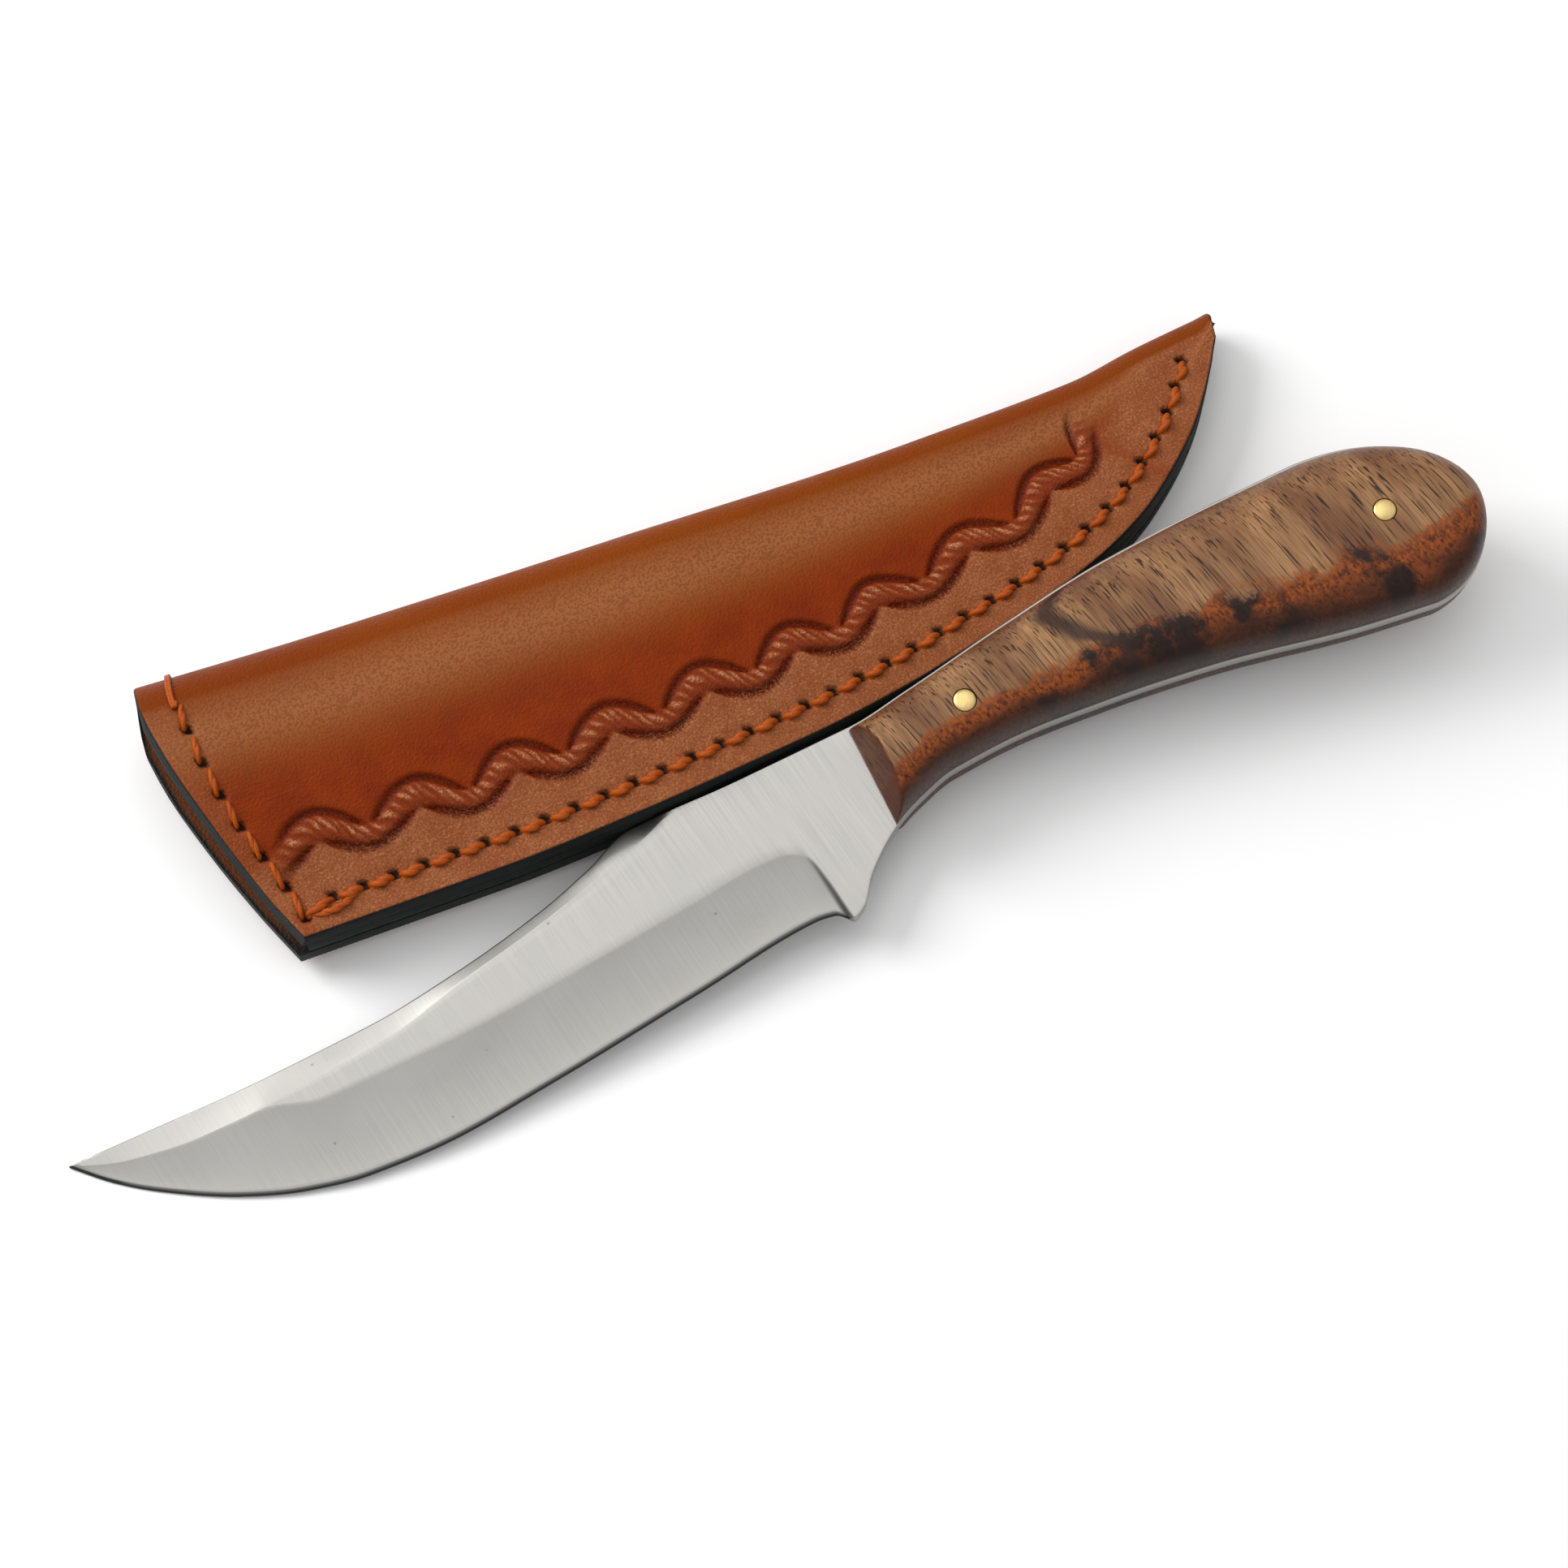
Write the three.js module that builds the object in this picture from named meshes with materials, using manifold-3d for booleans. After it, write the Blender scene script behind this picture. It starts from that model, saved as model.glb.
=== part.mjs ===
// A full-tang skinning knife lying beside its tooled leather pouch sheath.
// Millimetres, +Z up. The sheath's fold runs along X with the mouth at -X. The knife's tip is down
// and its handle leans towards the sheath's stitched edge. The origin lies on the surface that the
// pair rests on, under the middle of the pair.
import * as THREE from "three";
import { mergeVertices } from "three/addons/utils/BufferGeometryUtils.js";
import Module from "manifold-3d";

const wasm = await Module();
wasm.setup();

// ---------------------------------------------------------------- driving dimensions
// Knife: x runs from the tip to the butt, y towards the spine, z out of the left face.
const PLATE_THICKNESS = 2.4; // blade and tang are one plate
const TIP_HALF_THICKNESS = 0.25;
const EDGE_HALF_THICKNESS = 0.2;
const SPINE_HALF_THICKNESS = 0.45; // along the sharpened swedge
const HOLLOW_POWER = 1.5; // how deeply the bevel is hollowed
const RIDGE_END_X = 27; // where bevel and swedge part, going back from the tip
const PLUNGE_X = 107.8; // where the bevel ends
const RICASSO_X = 109.6; // heel corner
const CLIP_X = 87.6; // corner of the clipped spine
const SWEDGE_END_X = 94;
const HANDLE_FRONT_X = 120.4;
const HANDLE_THICKNESS = 16.2;
const GLUE_GAP = 0.15;
const BUTT = { x: 213.4, y: 0, upperX: 191, upperY: 14.5, lowerX: 201, lowerY: 12.3 };
const SCALE_INSET = 0.15; // wood stands this far inside the tang's outline
const FRONT_ROUND = 4.5;
const BUTT_ROUND = 7;
const PIN_RADIUS = 1.5875; // 1/8 inch brass rod
const PIN_CLEARANCE = 0.15;
const PIN_CROWN = 0.12;
const PINS = { front: [135.6, 2.6], rear: [199.1, 1.2] };

// Where the knife lies: its tip's place, then turned, tip down and spine up.
const KNIFE_TIP = [-108.5, -16.2, 0.3];
const KNIFE_YAW = 5.4;
const KNIFE_PITCH = 3.7;
const KNIFE_ROLL = 4.5;

// Sheath: one folded sheet of leather, a welt between its edges, and a belt loop behind.
const LEATHER = 2.7;
const LAYER_GAP = 0.3;
const SEAM_HEIGHT = 3 * LEATHER + 2 * LAYER_GAP;
const SHEATH_TIP_X = 81.1;
const MOUTH_FOLD_HEIGHT = 14.6; // outside, at the fold
const TIP_FOLD_HEIGHT = 7.6;
const SEAM_WIDTH = 7.5;
const BACK_LIP = 1.3; // the back panel reaches this far past the front panel at the mouth
const LOOP = { x: -70, length: 58, y: 20, width: 25, thickness: 2, corner: 4 };
const BACK_RAISE = LOOP.thickness + LAYER_GAP; // the back panel rides on the belt loop
const RAISE_END = [-10, 34]; // the back panel comes down to the table between these

const THREAD_RADIUS = 0.6;
const GROOVE_RADIUS = 0.95;
const THREAD_SIDES = 6;
const STITCH_INSET = 4.3;
const STITCH_START_X = -62.5;
const STITCH_END_X = 78;
const MOUTH_STITCH_INSET = 3.9;
const LOOP_STITCH_INSET = 3.2;
const LOOP_STITCH_LENGTH = 12;

// Puts the origin under the middle of the pair.
const ROW_SHIFT = [2.2, -7.3, 0];

// ---------------------------------------------------------------- materials
function finish(color, roughness, metalness) {
  return new THREE.MeshStandardMaterial({ color, roughness, metalness });
}

const steel = finish(0xc9c9c6, 0.32, 1);
const wood = finish(0x7a4f33, 0.38, 0);
const brass = finish(0xcfc07a, 0.3, 1);
const leather = finish(0x8f4a26, 0.5, 0);
const edgeLeather = finish(0x2b2d29, 0.55, 0);
const thread = finish(0xa8480f, 0.6, 0);

// ---------------------------------------------------------------- small tools
const lerp = THREE.MathUtils.lerp;
const clamp = THREE.MathUtils.clamp;
const range = (count) => [...Array(count).keys()];

// A smooth single-valued curve through the points, without overshoot.
function through(points) {
  const slope = (i) => (points[i + 1][1] - points[i][1]) / (points[i + 1][0] - points[i][0]);
  const last = points.length - 1;
  const tangents = points.map((_, i) => {
    if (i === 0) return slope(0);
    if (i === last) return slope(last - 1);
    const before = slope(i - 1);
    const after = slope(i);
    return before * after <= 0 ? 0 : (2 * before * after) / (before + after);
  });
  return (x) => {
    let i = points.findIndex((p) => p[0] > x) - 1;
    if (i === -2) i = last - 1;
    if (i < 0) i = 0;
    const [x0, y0] = points[i];
    const [x1, y1] = points[i + 1];
    const span = x1 - x0;
    const s = clamp((x - x0) / span, 0, 1);
    const s2 = s * s;
    const s3 = s2 * s;
    return (
      y0 * (2 * s3 - 3 * s2 + 1) +
      tangents[i] * span * (s3 - 2 * s2 + s) +
      y1 * (3 * s2 - 2 * s3) +
      tangents[i + 1] * span * (s3 - s2)
    );
  };
}

function indexedGeometry(points, triangles) {
  const geometry = new THREE.BufferGeometry();
  geometry.setAttribute("position", new THREE.Float32BufferAttribute(points.flat(), 3));
  geometry.setIndex(triangles);
  return geometry;
}

function toSolid(geometry) {
  const bare = geometry.clone();
  bare.deleteAttribute("normal");
  bare.deleteAttribute("uv");
  const merged = mergeVertices(bare, 1e-4);
  const solid = new wasm.Manifold(
    new wasm.Mesh({
      numProp: 3,
      vertProperties: new Float32Array(merged.attributes.position.array),
      triVerts: new Uint32Array(merged.index.array),
    }),
  );
  return solid;
}

function toGeometry(solid) {
  const { numProp, vertProperties, triVerts } = solid.getMesh();
  const points = range(vertProperties.length / numProp).map((i) =>
    Array.from(vertProperties.subarray(i * numProp, i * numProp + 3)),
  );
  return indexedGeometry(points, Array.from(triVerts));
}

function cut(geometry, tools) {
  return toGeometry(tools.reduce((solid, tool) => solid.subtract(toSolid(tool)), toSolid(geometry)));
}

// Rings of equally many points that follow one another towards +X, joined in order and capped.
function loft(given) {
  const contour = (ring) => ring.map((p) => new THREE.Vector2(p[1], p[2]));
  const turned = THREE.ShapeUtils.area(contour(given[0])) < 0;
  const rings = turned ? given.map((ring) => [...ring].reverse()) : given;
  const size = rings[0].length;
  const triangles = [];
  for (let i = 0; i + 1 < rings.length; i++) {
    for (let j = 0; j < size; j++) {
      const a = i * size + j;
      const b = i * size + ((j + 1) % size);
      triangles.push(a, b, b + size, a, b + size, a + size);
    }
  }
  const cap = (ring, start, flip) => {
    for (const [a, b, c] of THREE.ShapeUtils.triangulateShape(contour(ring), [])) {
      triangles.push(start + a, start + (flip ? c : b), start + (flip ? b : c));
    }
  };
  cap(rings[0], 0, true);
  cap(rings[rings.length - 1], (rings.length - 1) * size, false);
  return indexedGeometry(rings.flat(), triangles);
}

// A sheet with thickness: two grids of points, joined along their four sides.
function sheet(outer, inner) {
  const rows = outer.length;
  const columns = outer[0].length;
  const points = [...outer.flat(), ...inner.flat()];
  const offset = rows * columns;
  const triangles = [];
  const quad = (a, b, c, d) => triangles.push(a, b, c, a, c, d);
  for (let i = 0; i + 1 < rows; i++) {
    for (let j = 0; j + 1 < columns; j++) {
      const a = i * columns + j;
      const b = a + columns;
      quad(a, a + 1, b + 1, b);
      quad(offset + a, offset + b, offset + b + 1, offset + a + 1);
    }
    const near = i * columns;
    const far = near + columns - 1;
    quad(near, near + columns, offset + near + columns, offset + near);
    quad(far + columns, far, offset + far, offset + far + columns);
  }
  for (let j = 0; j + 1 < columns; j++) {
    const last = (rows - 1) * columns + j;
    quad(j + 1, j, offset + j, offset + j + 1);
    quad(last, last + 1, offset + last + 1, offset + last);
  }
  return indexedGeometry(points, triangles);
}

function tube(points, radius, steps, sides) {
  const circle = new THREE.Shape(
    range(sides).map((i) => {
      const angle = ((i + 0.5) / sides) * 2 * Math.PI;
      return new THREE.Vector2(radius * Math.cos(angle), radius * Math.sin(angle));
    }),
  );
  const path = new THREE.CatmullRomCurve3(points.map((p) => new THREE.Vector3(...p)));
  return new THREE.ExtrudeGeometry(circle, { steps, extrudePath: path, bevelEnabled: false });
}

// ---------------------------------------------------------------- knife outlines
const spineY = through([
  [0, 0],
  [12, -0.4],
  [26, -0.8],
  [44, -0.5],
  [58, 1],
  [72, 3.6],
  [80, 5.9],
  [CLIP_X, 8.5],
  [104, 8],
  [HANDLE_FRONT_X, 8],
  [130, 9.2],
  [146, 11.7],
  [163, 13.8],
  [178, 14.4],
  [BUTT.upperX, BUTT.upperY],
]);

const bellyY = through([
  [0, 0],
  [4.7, -4.7],
  [10.2, -8.8],
  [19.7, -14.2],
  [27.8, -17.3],
  [36.3, -19.1],
  [47, -19.7],
  [63, -18.6],
  [86, -16.3],
  [104.7, -14.4],
  [107.5, -14.8],
  [RICASSO_X, -16.4],
  [111.4, -15.6],
  [114.4, -12],
  [120.8, -7.3],
  [125.6, -5.3],
  [131, -3.9],
  [140, -3.5],
  [154, -4.5],
  [170, -6.6],
  [190, -10.7],
  [BUTT.lowerX, -BUTT.lowerY],
]);

const grindY = through([
  [0, 0],
  [7.5, -2.8],
  [18, -4.4],
  [RIDGE_END_X, -4.7],
  [35, -6.9],
  [54, -7.1],
  [73, -6.1],
  [91, -4.7],
  [101, -3.9],
  [105, -4.2],
  [PLUNGE_X, -5.8],
]);

const swedgeY = through([
  [0, 0],
  [7.5, -2.8],
  [18, -4.4],
  [RIDGE_END_X, -4.6],
  [46, -3.5],
  [58, -0.8],
  [71, 1.6],
  [CLIP_X, 5.7],
  [SWEDGE_END_X, 7.8],
]);

function handleUpper(x) {
  if (x <= BUTT.upperX) return spineY(x);
  const s = (x - BUTT.upperX) / (BUTT.x - BUTT.upperX);
  return BUTT.y + (BUTT.upperY - BUTT.y) * Math.sqrt(Math.max(0, 1 - s * s));
}

function handleLower(x) {
  if (x <= BUTT.lowerX) return bellyY(x);
  const s = (x - BUTT.lowerX) / (BUTT.x - BUTT.lowerX);
  return BUTT.y - (BUTT.lowerY + BUTT.y) * Math.sqrt(Math.max(0, 1 - s * s));
}

// Stations that crowd together towards the butt, where the outline turns.
function buttStations(start, count) {
  return range(count).map((i) => lerp(start, BUTT.x, Math.sin(((i + 1) / (count + 0.35)) * (Math.PI / 2))));
}

// ---------------------------------------------------------------- knife pieces
function plateRing(x) {
  const half = PLATE_THICKNESS / 2;
  const low = handleLower(x);
  const high = handleUpper(x);
  const ground = x < PLUNGE_X;
  const swedged = x < SWEDGE_END_X;
  const ridgeHalf = lerp(TIP_HALF_THICKNESS, half, clamp(x / RIDGE_END_X, 0, 1));
  const full = ground ? Math.min(half, ridgeHalf) : half;
  const edgeHalf = ground ? Math.min(EDGE_HALF_THICKNESS, full) : half;
  const spineHalf = swedged ? Math.min(SPINE_HALF_THICKNESS, full) : half;
  const grind = ground ? grindY(x) : lerp(low, high, 0.4);
  const swedge = swedged ? Math.max(swedgeY(x), grind + 0.05) : high - 0.6;
  const side = [0, 0.35, 0.7].map((q) => [
    lerp(low, grind, q),
    edgeHalf + (full - edgeHalf) * q ** HOLLOW_POWER,
  ]);
  side.push([grind, full], [swedge, full], [high, spineHalf]);
  const upper = side.map(([y, z]) => [x, y, z]);
  const under = side.map(([y, z]) => [x, y, -z]).reverse();
  return [...upper, ...under].reverse();
}

function bladeGeometry() {
  const stations = [
    0.4, 2, 4.7, 7.5, 11, 15, 19.7, 24, RIDGE_END_X, 31, 36, 41, 47, 54, 62, 70, 77, 83, CLIP_X, 91,
    SWEDGE_END_X - 0.1, SWEDGE_END_X, 98, 101, 104.7, 106.4, PLUNGE_X - 0.01, PLUNGE_X + 1, RICASSO_X,
    110.4, 111.4, 113, 115, 117.6, 120.8, 125.6, 131, 138, 146, 154, 163, 172, 181,
  ];
  const all = [...stations, ...buttStations(BUTT.upperX - 2, 9)];
  return cut(loft(all.map(plateRing)), [pinHole(...PINS.front), pinHole(...PINS.rear)]);
}

function pinHole(x, y) {
  const hole = new THREE.CylinderGeometry(
    PIN_RADIUS + PIN_CLEARANCE,
    PIN_RADIUS + PIN_CLEARANCE,
    HANDLE_THICKNESS + 4,
    24,
  );
  return hole.rotateX(Math.PI / 2).translate(x, y, 0);
}

// The height of a scale's face above the plate: rounded off at its front and at the butt.
function scaleHeight(x) {
  const full = HANDLE_THICKNESS / 2 - PLATE_THICKNESS / 2 - GLUE_GAP;
  const front = clamp((x - HANDLE_FRONT_X) / FRONT_ROUND, 0, 1);
  const back = clamp((BUTT.x - x) / BUTT_ROUND, 0, 1);
  const roundedFront = lerp(0.25, 1, Math.sqrt(1 - (1 - front) ** 2));
  const roundedBack = lerp(0.22, 1, Math.sqrt(1 - (1 - back) ** 2));
  return full * roundedFront * roundedBack;
}

function scaleRing(x, side) {
  const base = PLATE_THICKNESS / 2 + GLUE_GAP;
  const low = handleLower(x) + SCALE_INSET;
  const high = handleUpper(x) - SCALE_INSET;
  const middle = (low + high) / 2;
  const half = (high - low) / 2;
  const height = scaleHeight(x);
  const arc = range(11).map((i) => {
    const angle = (i / 10) * Math.PI;
    const across = Math.sign(Math.cos(angle)) * Math.abs(Math.cos(angle)) ** 0.62;
    return [x, middle + half * across, side * (base + height * Math.sin(angle) ** 0.6)];
  });
  return side > 0 ? arc : arc.reverse();
}

function scaleGeometry(side) {
  const stations = [0.05, 0.6, 1.6, 3, 4.5, 9, 15, 21, 28, 36, 45, 54, 63].map((d) => HANDLE_FRONT_X + d);
  const all = [...stations, ...buttStations(BUTT.upperX - 2, 9)];
  const rings = all.map((x) => scaleRing(x, side));
  return cut(loft(rings), [pinHole(...PINS.front), pinHole(...PINS.rear)]);
}

function pinGeometry(x, y) {
  const half = HANDLE_THICKNESS / 2;
  const profile = [
    [0, -half - PIN_CROWN],
    [PIN_RADIUS * 0.7, -half - PIN_CROWN * 0.5],
    [PIN_RADIUS, -half + PIN_CROWN],
    [PIN_RADIUS, half - PIN_CROWN],
    [PIN_RADIUS * 0.7, half + PIN_CROWN * 0.5],
    [0, half + PIN_CROWN],
  ].map(([r, z]) => new THREE.Vector2(r, z));
  return new THREE.LatheGeometry(profile, 20).rotateX(Math.PI / 2).translate(x, y, 0);
}

// ---------------------------------------------------------------- sheath outlines
// The stitched edge and the fold, as seen from above.
const stitchedEdgeY = through([
  [-68.5, -0.4],
  [-40, -0.2],
  [-20, 0.9],
  [5.6, 3.5],
  [20.7, 6.2],
  [31.5, 8.8],
  [42.4, 11.5],
  [53, 15.2],
  [60.9, 19.2],
  [68.1, 24.7],
  [73.3, 29.9],
  [77.6, 35.7],
  [SHEATH_TIP_X, 41.4],
]);

const foldY = through([
  [-80, 42.1],
  [-52, 41.4],
  [-5, 41.1],
  [44, 42.3],
  [59, 43],
  [70, 44.9],
  [SHEATH_TIP_X, 46.4],
]);

// How far back the mouth's slanted edge lies, from the stitched corner (0) to the fold (1).
const mouthX = through([
  [0, -68.8],
  [0.18, -71.9],
  [0.45, -75.8],
  [0.7, -78.6],
  [0.86, -79.5],
  [1, -78.9],
]);

// The surface that the back panel lies on: the belt loop, then the table.
function backZ(x) {
  const s = clamp((x - RAISE_END[0]) / (RAISE_END[1] - RAISE_END[0]), 0, 1);
  return BACK_RAISE * (1 - s * s * (3 - 2 * s));
}

// One place on the sheath, u from the mouth (0) to the tip (1), v from the stitched edge (0) to
// the fold (1). lip moves the mouth's edge outwards.
function planPoint(u, v, lip = 0) {
  const along = (w) => lerp(mouthX(w) - lip, SHEATH_TIP_X, u);
  const edge = stitchedEdgeY(along(0));
  const fold = foldY(along(1));
  return { x: along(v), y: lerp(edge, fold, v), edge, fold };
}

// The sheath's section at u: where its seam ends, where its fold begins, and how high it is there.
function section(u) {
  const { edge, fold } = planPoint(u, 0);
  const width = fold - edge;
  const foldHeight = lerp(MOUTH_FOLD_HEIGHT, TIP_FOLD_HEIGHT, u ** 0.85);
  const foldDepth = Math.min(foldHeight / 2, 0.46 * width);
  return {
    edge,
    fold,
    width,
    foldHeight,
    foldDepth,
    seam: edge + Math.min(SEAM_WIDTH, 0.42 * width),
    bend: fold - foldDepth,
  };
}

// The height of the front panel's outside above the back panel's outside.
function frontHeight(here, y) {
  const s = clamp((y - here.seam) / (here.bend - here.seam), 0, 1);
  const seamTop = Math.min(SEAM_HEIGHT, lerp(here.foldHeight, SEAM_HEIGHT, clamp(here.width / 12, 0, 1)));
  return lerp(seamTop, here.foldHeight, 1 - (1 - s) ** 2);
}

const BACK_STEPS = [0, 0.25, 0.5, 0.75, 1];
const FOLD_STEPS = range(8).map((i) => (i + 1) / 8);
const FRONT_STEPS = [0.12, 0.26, 0.42, 0.58, 0.74, 0.88, 1];

// The folded sheet's section at u, from the back panel's stitched edge round the fold to the front
// panel's. inset is 0 on the outside and LEATHER on the inside.
function sheathRow(u, inset) {
  const here = section(u);
  const place = (y, height, lip) => {
    const v = (y - here.edge) / here.width;
    const { x } = planPoint(u, v, lip);
    return [x, y, backZ(x) + height];
  };
  const back = BACK_STEPS.map((s) => place(lerp(here.edge, here.bend, s), inset, BACK_LIP * (1 - u)));
  const round = FOLD_STEPS.slice(0, -1).map((s) => {
    const angle = -Math.PI / 2 + s * Math.PI;
    const depth = Math.max(here.foldDepth - inset, 0.15);
    const height = here.foldHeight / 2 + (here.foldHeight / 2 - inset) * Math.sin(angle);
    return place(here.bend + depth * Math.cos(angle), height, BACK_LIP * (1 - u) * (1 - s));
  });
  const front = [0, ...FRONT_STEPS].map((s) => {
    const y = s < 0.75 ? lerp(here.bend, here.seam, s / 0.74) : lerp(here.seam, here.edge, (s - 0.74) / 0.26);
    return place(y, frontHeight(here, y) - inset, 0);
  });
  return [...back, ...round, ...front];
}

const SHEATH_STATIONS = range(23).map((i) => {
  const s = i / 22;
  return s < 0.7 ? s * 1.12 : 1 - 0.216 * ((1 - s) / 0.3) ** 1.7;
});

// ---------------------------------------------------------------- sheath pieces
// A point at a distance inside the stitched edge, square to the edge at x.
function stitchPoint(x, inset) {
  const slope = stitchedEdgeY(x + 0.5) - stitchedEdgeY(x - 0.5);
  const length = Math.hypot(1, slope);
  return [x - (inset * slope) / length, stitchedEdgeY(x) + inset / length];
}

function edgeStitchPath(height) {
  const ends = [STITCH_START_X, STITCH_END_X];
  return range(20).map((i) => {
    const [x, y] = stitchPoint(lerp(...ends, i / 19), STITCH_INSET);
    return [x, y, backZ(x) + height];
  });
}

// Points along the front panel, a little way in from the mouth, over the fold.
function mouthStitchPath(lift) {
  const u = MOUTH_STITCH_INSET / (SHEATH_TIP_X - mouthX(0.5));
  const here = section(u);
  const panel = range(9).map((i) => {
    const y = lerp(here.edge + STITCH_INSET - 0.6, here.bend, i / 8);
    const { x } = planPoint(u, (y - here.edge) / here.width);
    return [x, y, backZ(x) + frontHeight(here, y) + lift];
  });
  const fold = [30, 60, 85].map((degrees) => {
    const angle = THREE.MathUtils.degToRad(90 - degrees);
    const y = here.bend + (here.foldDepth + lift) * Math.cos(angle);
    const { x } = planPoint(u, clamp((y - here.edge) / here.width, 0, 1));
    return [x, y, backZ(x) + here.foldHeight / 2 + (here.foldHeight / 2 + lift) * Math.sin(angle)];
  });
  return [...panel, ...fold];
}

// Three sides of a rectangle under one end of the belt loop, open towards the loop's middle.
function loopStitchPath(end) {
  const outside = end > 0 ? LOOP.x + LOOP.length - LOOP_STITCH_INSET : LOOP.x + LOOP_STITCH_INSET;
  const inside = outside - end * LOOP_STITCH_LENGTH;
  const half = LOOP.width / 2 - LOOP_STITCH_INSET;
  const turn = 1.5;
  const height = THREAD_RADIUS + 0.12;
  return [
    [inside, LOOP.y - half, height],
    [lerp(inside, outside, 0.5), LOOP.y - half, height],
    [outside - end * turn, LOOP.y - half, height],
    [outside, LOOP.y - half + turn, height],
    [outside, LOOP.y, height],
    [outside, LOOP.y + half - turn, height],
    [outside - end * turn, LOOP.y + half, height],
    [lerp(inside, outside, 0.5), LOOP.y + half, height],
    [inside, LOOP.y + half, height],
  ];
}

const PATHS = {
  edgeFront: { points: edgeStitchPath(SEAM_HEIGHT + 0.1), steps: 40 },
  edgeBack: { points: edgeStitchPath(THREAD_RADIUS + 0.12), steps: 40 },
  mouth: { points: mouthStitchPath(0.1), steps: 20 },
  loopUpper: { points: loopStitchPath(-1), steps: 18 },
  loopLower: { points: loopStitchPath(1), steps: 18 },
};

function threadGeometry({ points, steps }) {
  return tube(points, THREAD_RADIUS, steps, THREAD_SIDES);
}

// The same path, thicker and with its ends carried on by 0.6 mm.
function groove({ points, steps }) {
  const carry = (end, next) => {
    const from = new THREE.Vector3(...next);
    const to = new THREE.Vector3(...end);
    const beyond = to.clone().sub(from).setLength(0.6).add(to);
    return beyond.toArray();
  };
  const first = carry(points[0], points[1]);
  const last = carry(points[points.length - 1], points[points.length - 2]);
  return tube([first, ...points, last], GROOVE_RADIUS, steps + 2, THREAD_SIDES);
}

function sheathGeometry() {
  const outer = SHEATH_STATIONS.map((u) => sheathRow(u, 0));
  const inner = SHEATH_STATIONS.map((u) => sheathRow(u, LEATHER));
  return cut(sheet(outer, inner), [groove(PATHS.edgeFront), groove(PATHS.edgeBack), groove(PATHS.mouth)]);
}

const WELT_FIRST = 0.004;
const WELT_LAST = 0.93;

// The strip of leather that spaces the two panels along their stitched edge, from u = WELT_FIRST on.
function weltGeometry() {
  const rings = range(24).map((i) => {
    const { x } = planPoint(lerp(WELT_FIRST, WELT_LAST, i / 23), 0);
    const [innerX, innerY] = stitchPoint(x, SEAM_WIDTH - 0.8);
    const low = LEATHER + LAYER_GAP;
    const high = 2 * LEATHER + LAYER_GAP;
    const y = stitchedEdgeY(x);
    return [
      [x, y, backZ(x) + low],
      [x, y, backZ(x) + high],
      [innerX, innerY, backZ(innerX) + high],
      [innerX, innerY, backZ(innerX) + low],
    ];
  });
  return loft(rings);
}

function beltLoopGeometry() {
  const { x, y, length, width, corner, thickness } = LOOP;
  const outline = new THREE.Shape();
  const low = y - width / 2;
  const high = y + width / 2;
  outline.moveTo(x + corner, low);
  outline.lineTo(x + length - corner, low);
  outline.absarc(x + length - corner, low + corner, corner, -Math.PI / 2, 0);
  outline.absarc(x + length - corner, high - corner, corner, 0, Math.PI / 2);
  outline.absarc(x + corner, high - corner, corner, Math.PI / 2, Math.PI);
  outline.absarc(x + corner, low + corner, corner, Math.PI, 1.5 * Math.PI);
  const strap = new THREE.ExtrudeGeometry(outline, {
    depth: thickness,
    bevelEnabled: false,
    curveSegments: 6,
  });
  return cut(strap, [groove(PATHS.loopUpper), groove(PATHS.loopLower)]);
}

// ---------------------------------------------------------------- assembly
function piece(name, geometry, material) {
  const mesh = new THREE.Mesh(geometry, material);
  mesh.name = name;
  return mesh;
}

const knife = new THREE.Group();
knife.add(piece("blade", bladeGeometry(), steel));
knife.add(piece("left_scale", scaleGeometry(1), wood));
knife.add(piece("right_scale", scaleGeometry(-1), wood));
knife.add(piece("front_pin", pinGeometry(...PINS.front), brass));
knife.add(piece("rear_pin", pinGeometry(...PINS.rear), brass));
knife.rotation.order = "ZYX";
knife.rotation.set(
  THREE.MathUtils.degToRad(KNIFE_ROLL),
  THREE.MathUtils.degToRad(-KNIFE_PITCH),
  THREE.MathUtils.degToRad(KNIFE_YAW),
);
knife.position.set(...KNIFE_TIP);

const sheath = new THREE.Group();
sheath.add(piece("sheath_body", sheathGeometry(), leather));
sheath.add(piece("welt", weltGeometry(), edgeLeather));
sheath.add(piece("belt_loop", beltLoopGeometry(), leather));
sheath.add(piece("edge_thread_front", threadGeometry(PATHS.edgeFront), thread));
sheath.add(piece("edge_thread_back", threadGeometry(PATHS.edgeBack), thread));
sheath.add(piece("mouth_thread", threadGeometry(PATHS.mouth), thread));
sheath.add(piece("loop_thread_upper", threadGeometry(PATHS.loopUpper), thread));
sheath.add(piece("loop_thread_lower", threadGeometry(PATHS.loopLower), thread));

const pair = new THREE.Group();
pair.add(knife, sheath);
pair.position.set(...ROW_SHIFT);

const object = new THREE.Group();
object.add(pair);

export default object;
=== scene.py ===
"""A full-tang skinning knife lying beside its tooled leather pouch sheath.

The shapes repeat the CAD model's driving dimensions, in millimetres, and meshes are written in
metres. The knife's pieces are made in the knife's own frame, x from tip to butt, y towards the
spine and z out of the left face, and their objects' matrix lays them down. The sheath's pieces
are made where they lie, in the sheath's own coordinates, and shifted into the frame.
"""
import math

import bpy
import numpy as np
from mathutils import Matrix, Vector


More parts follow.
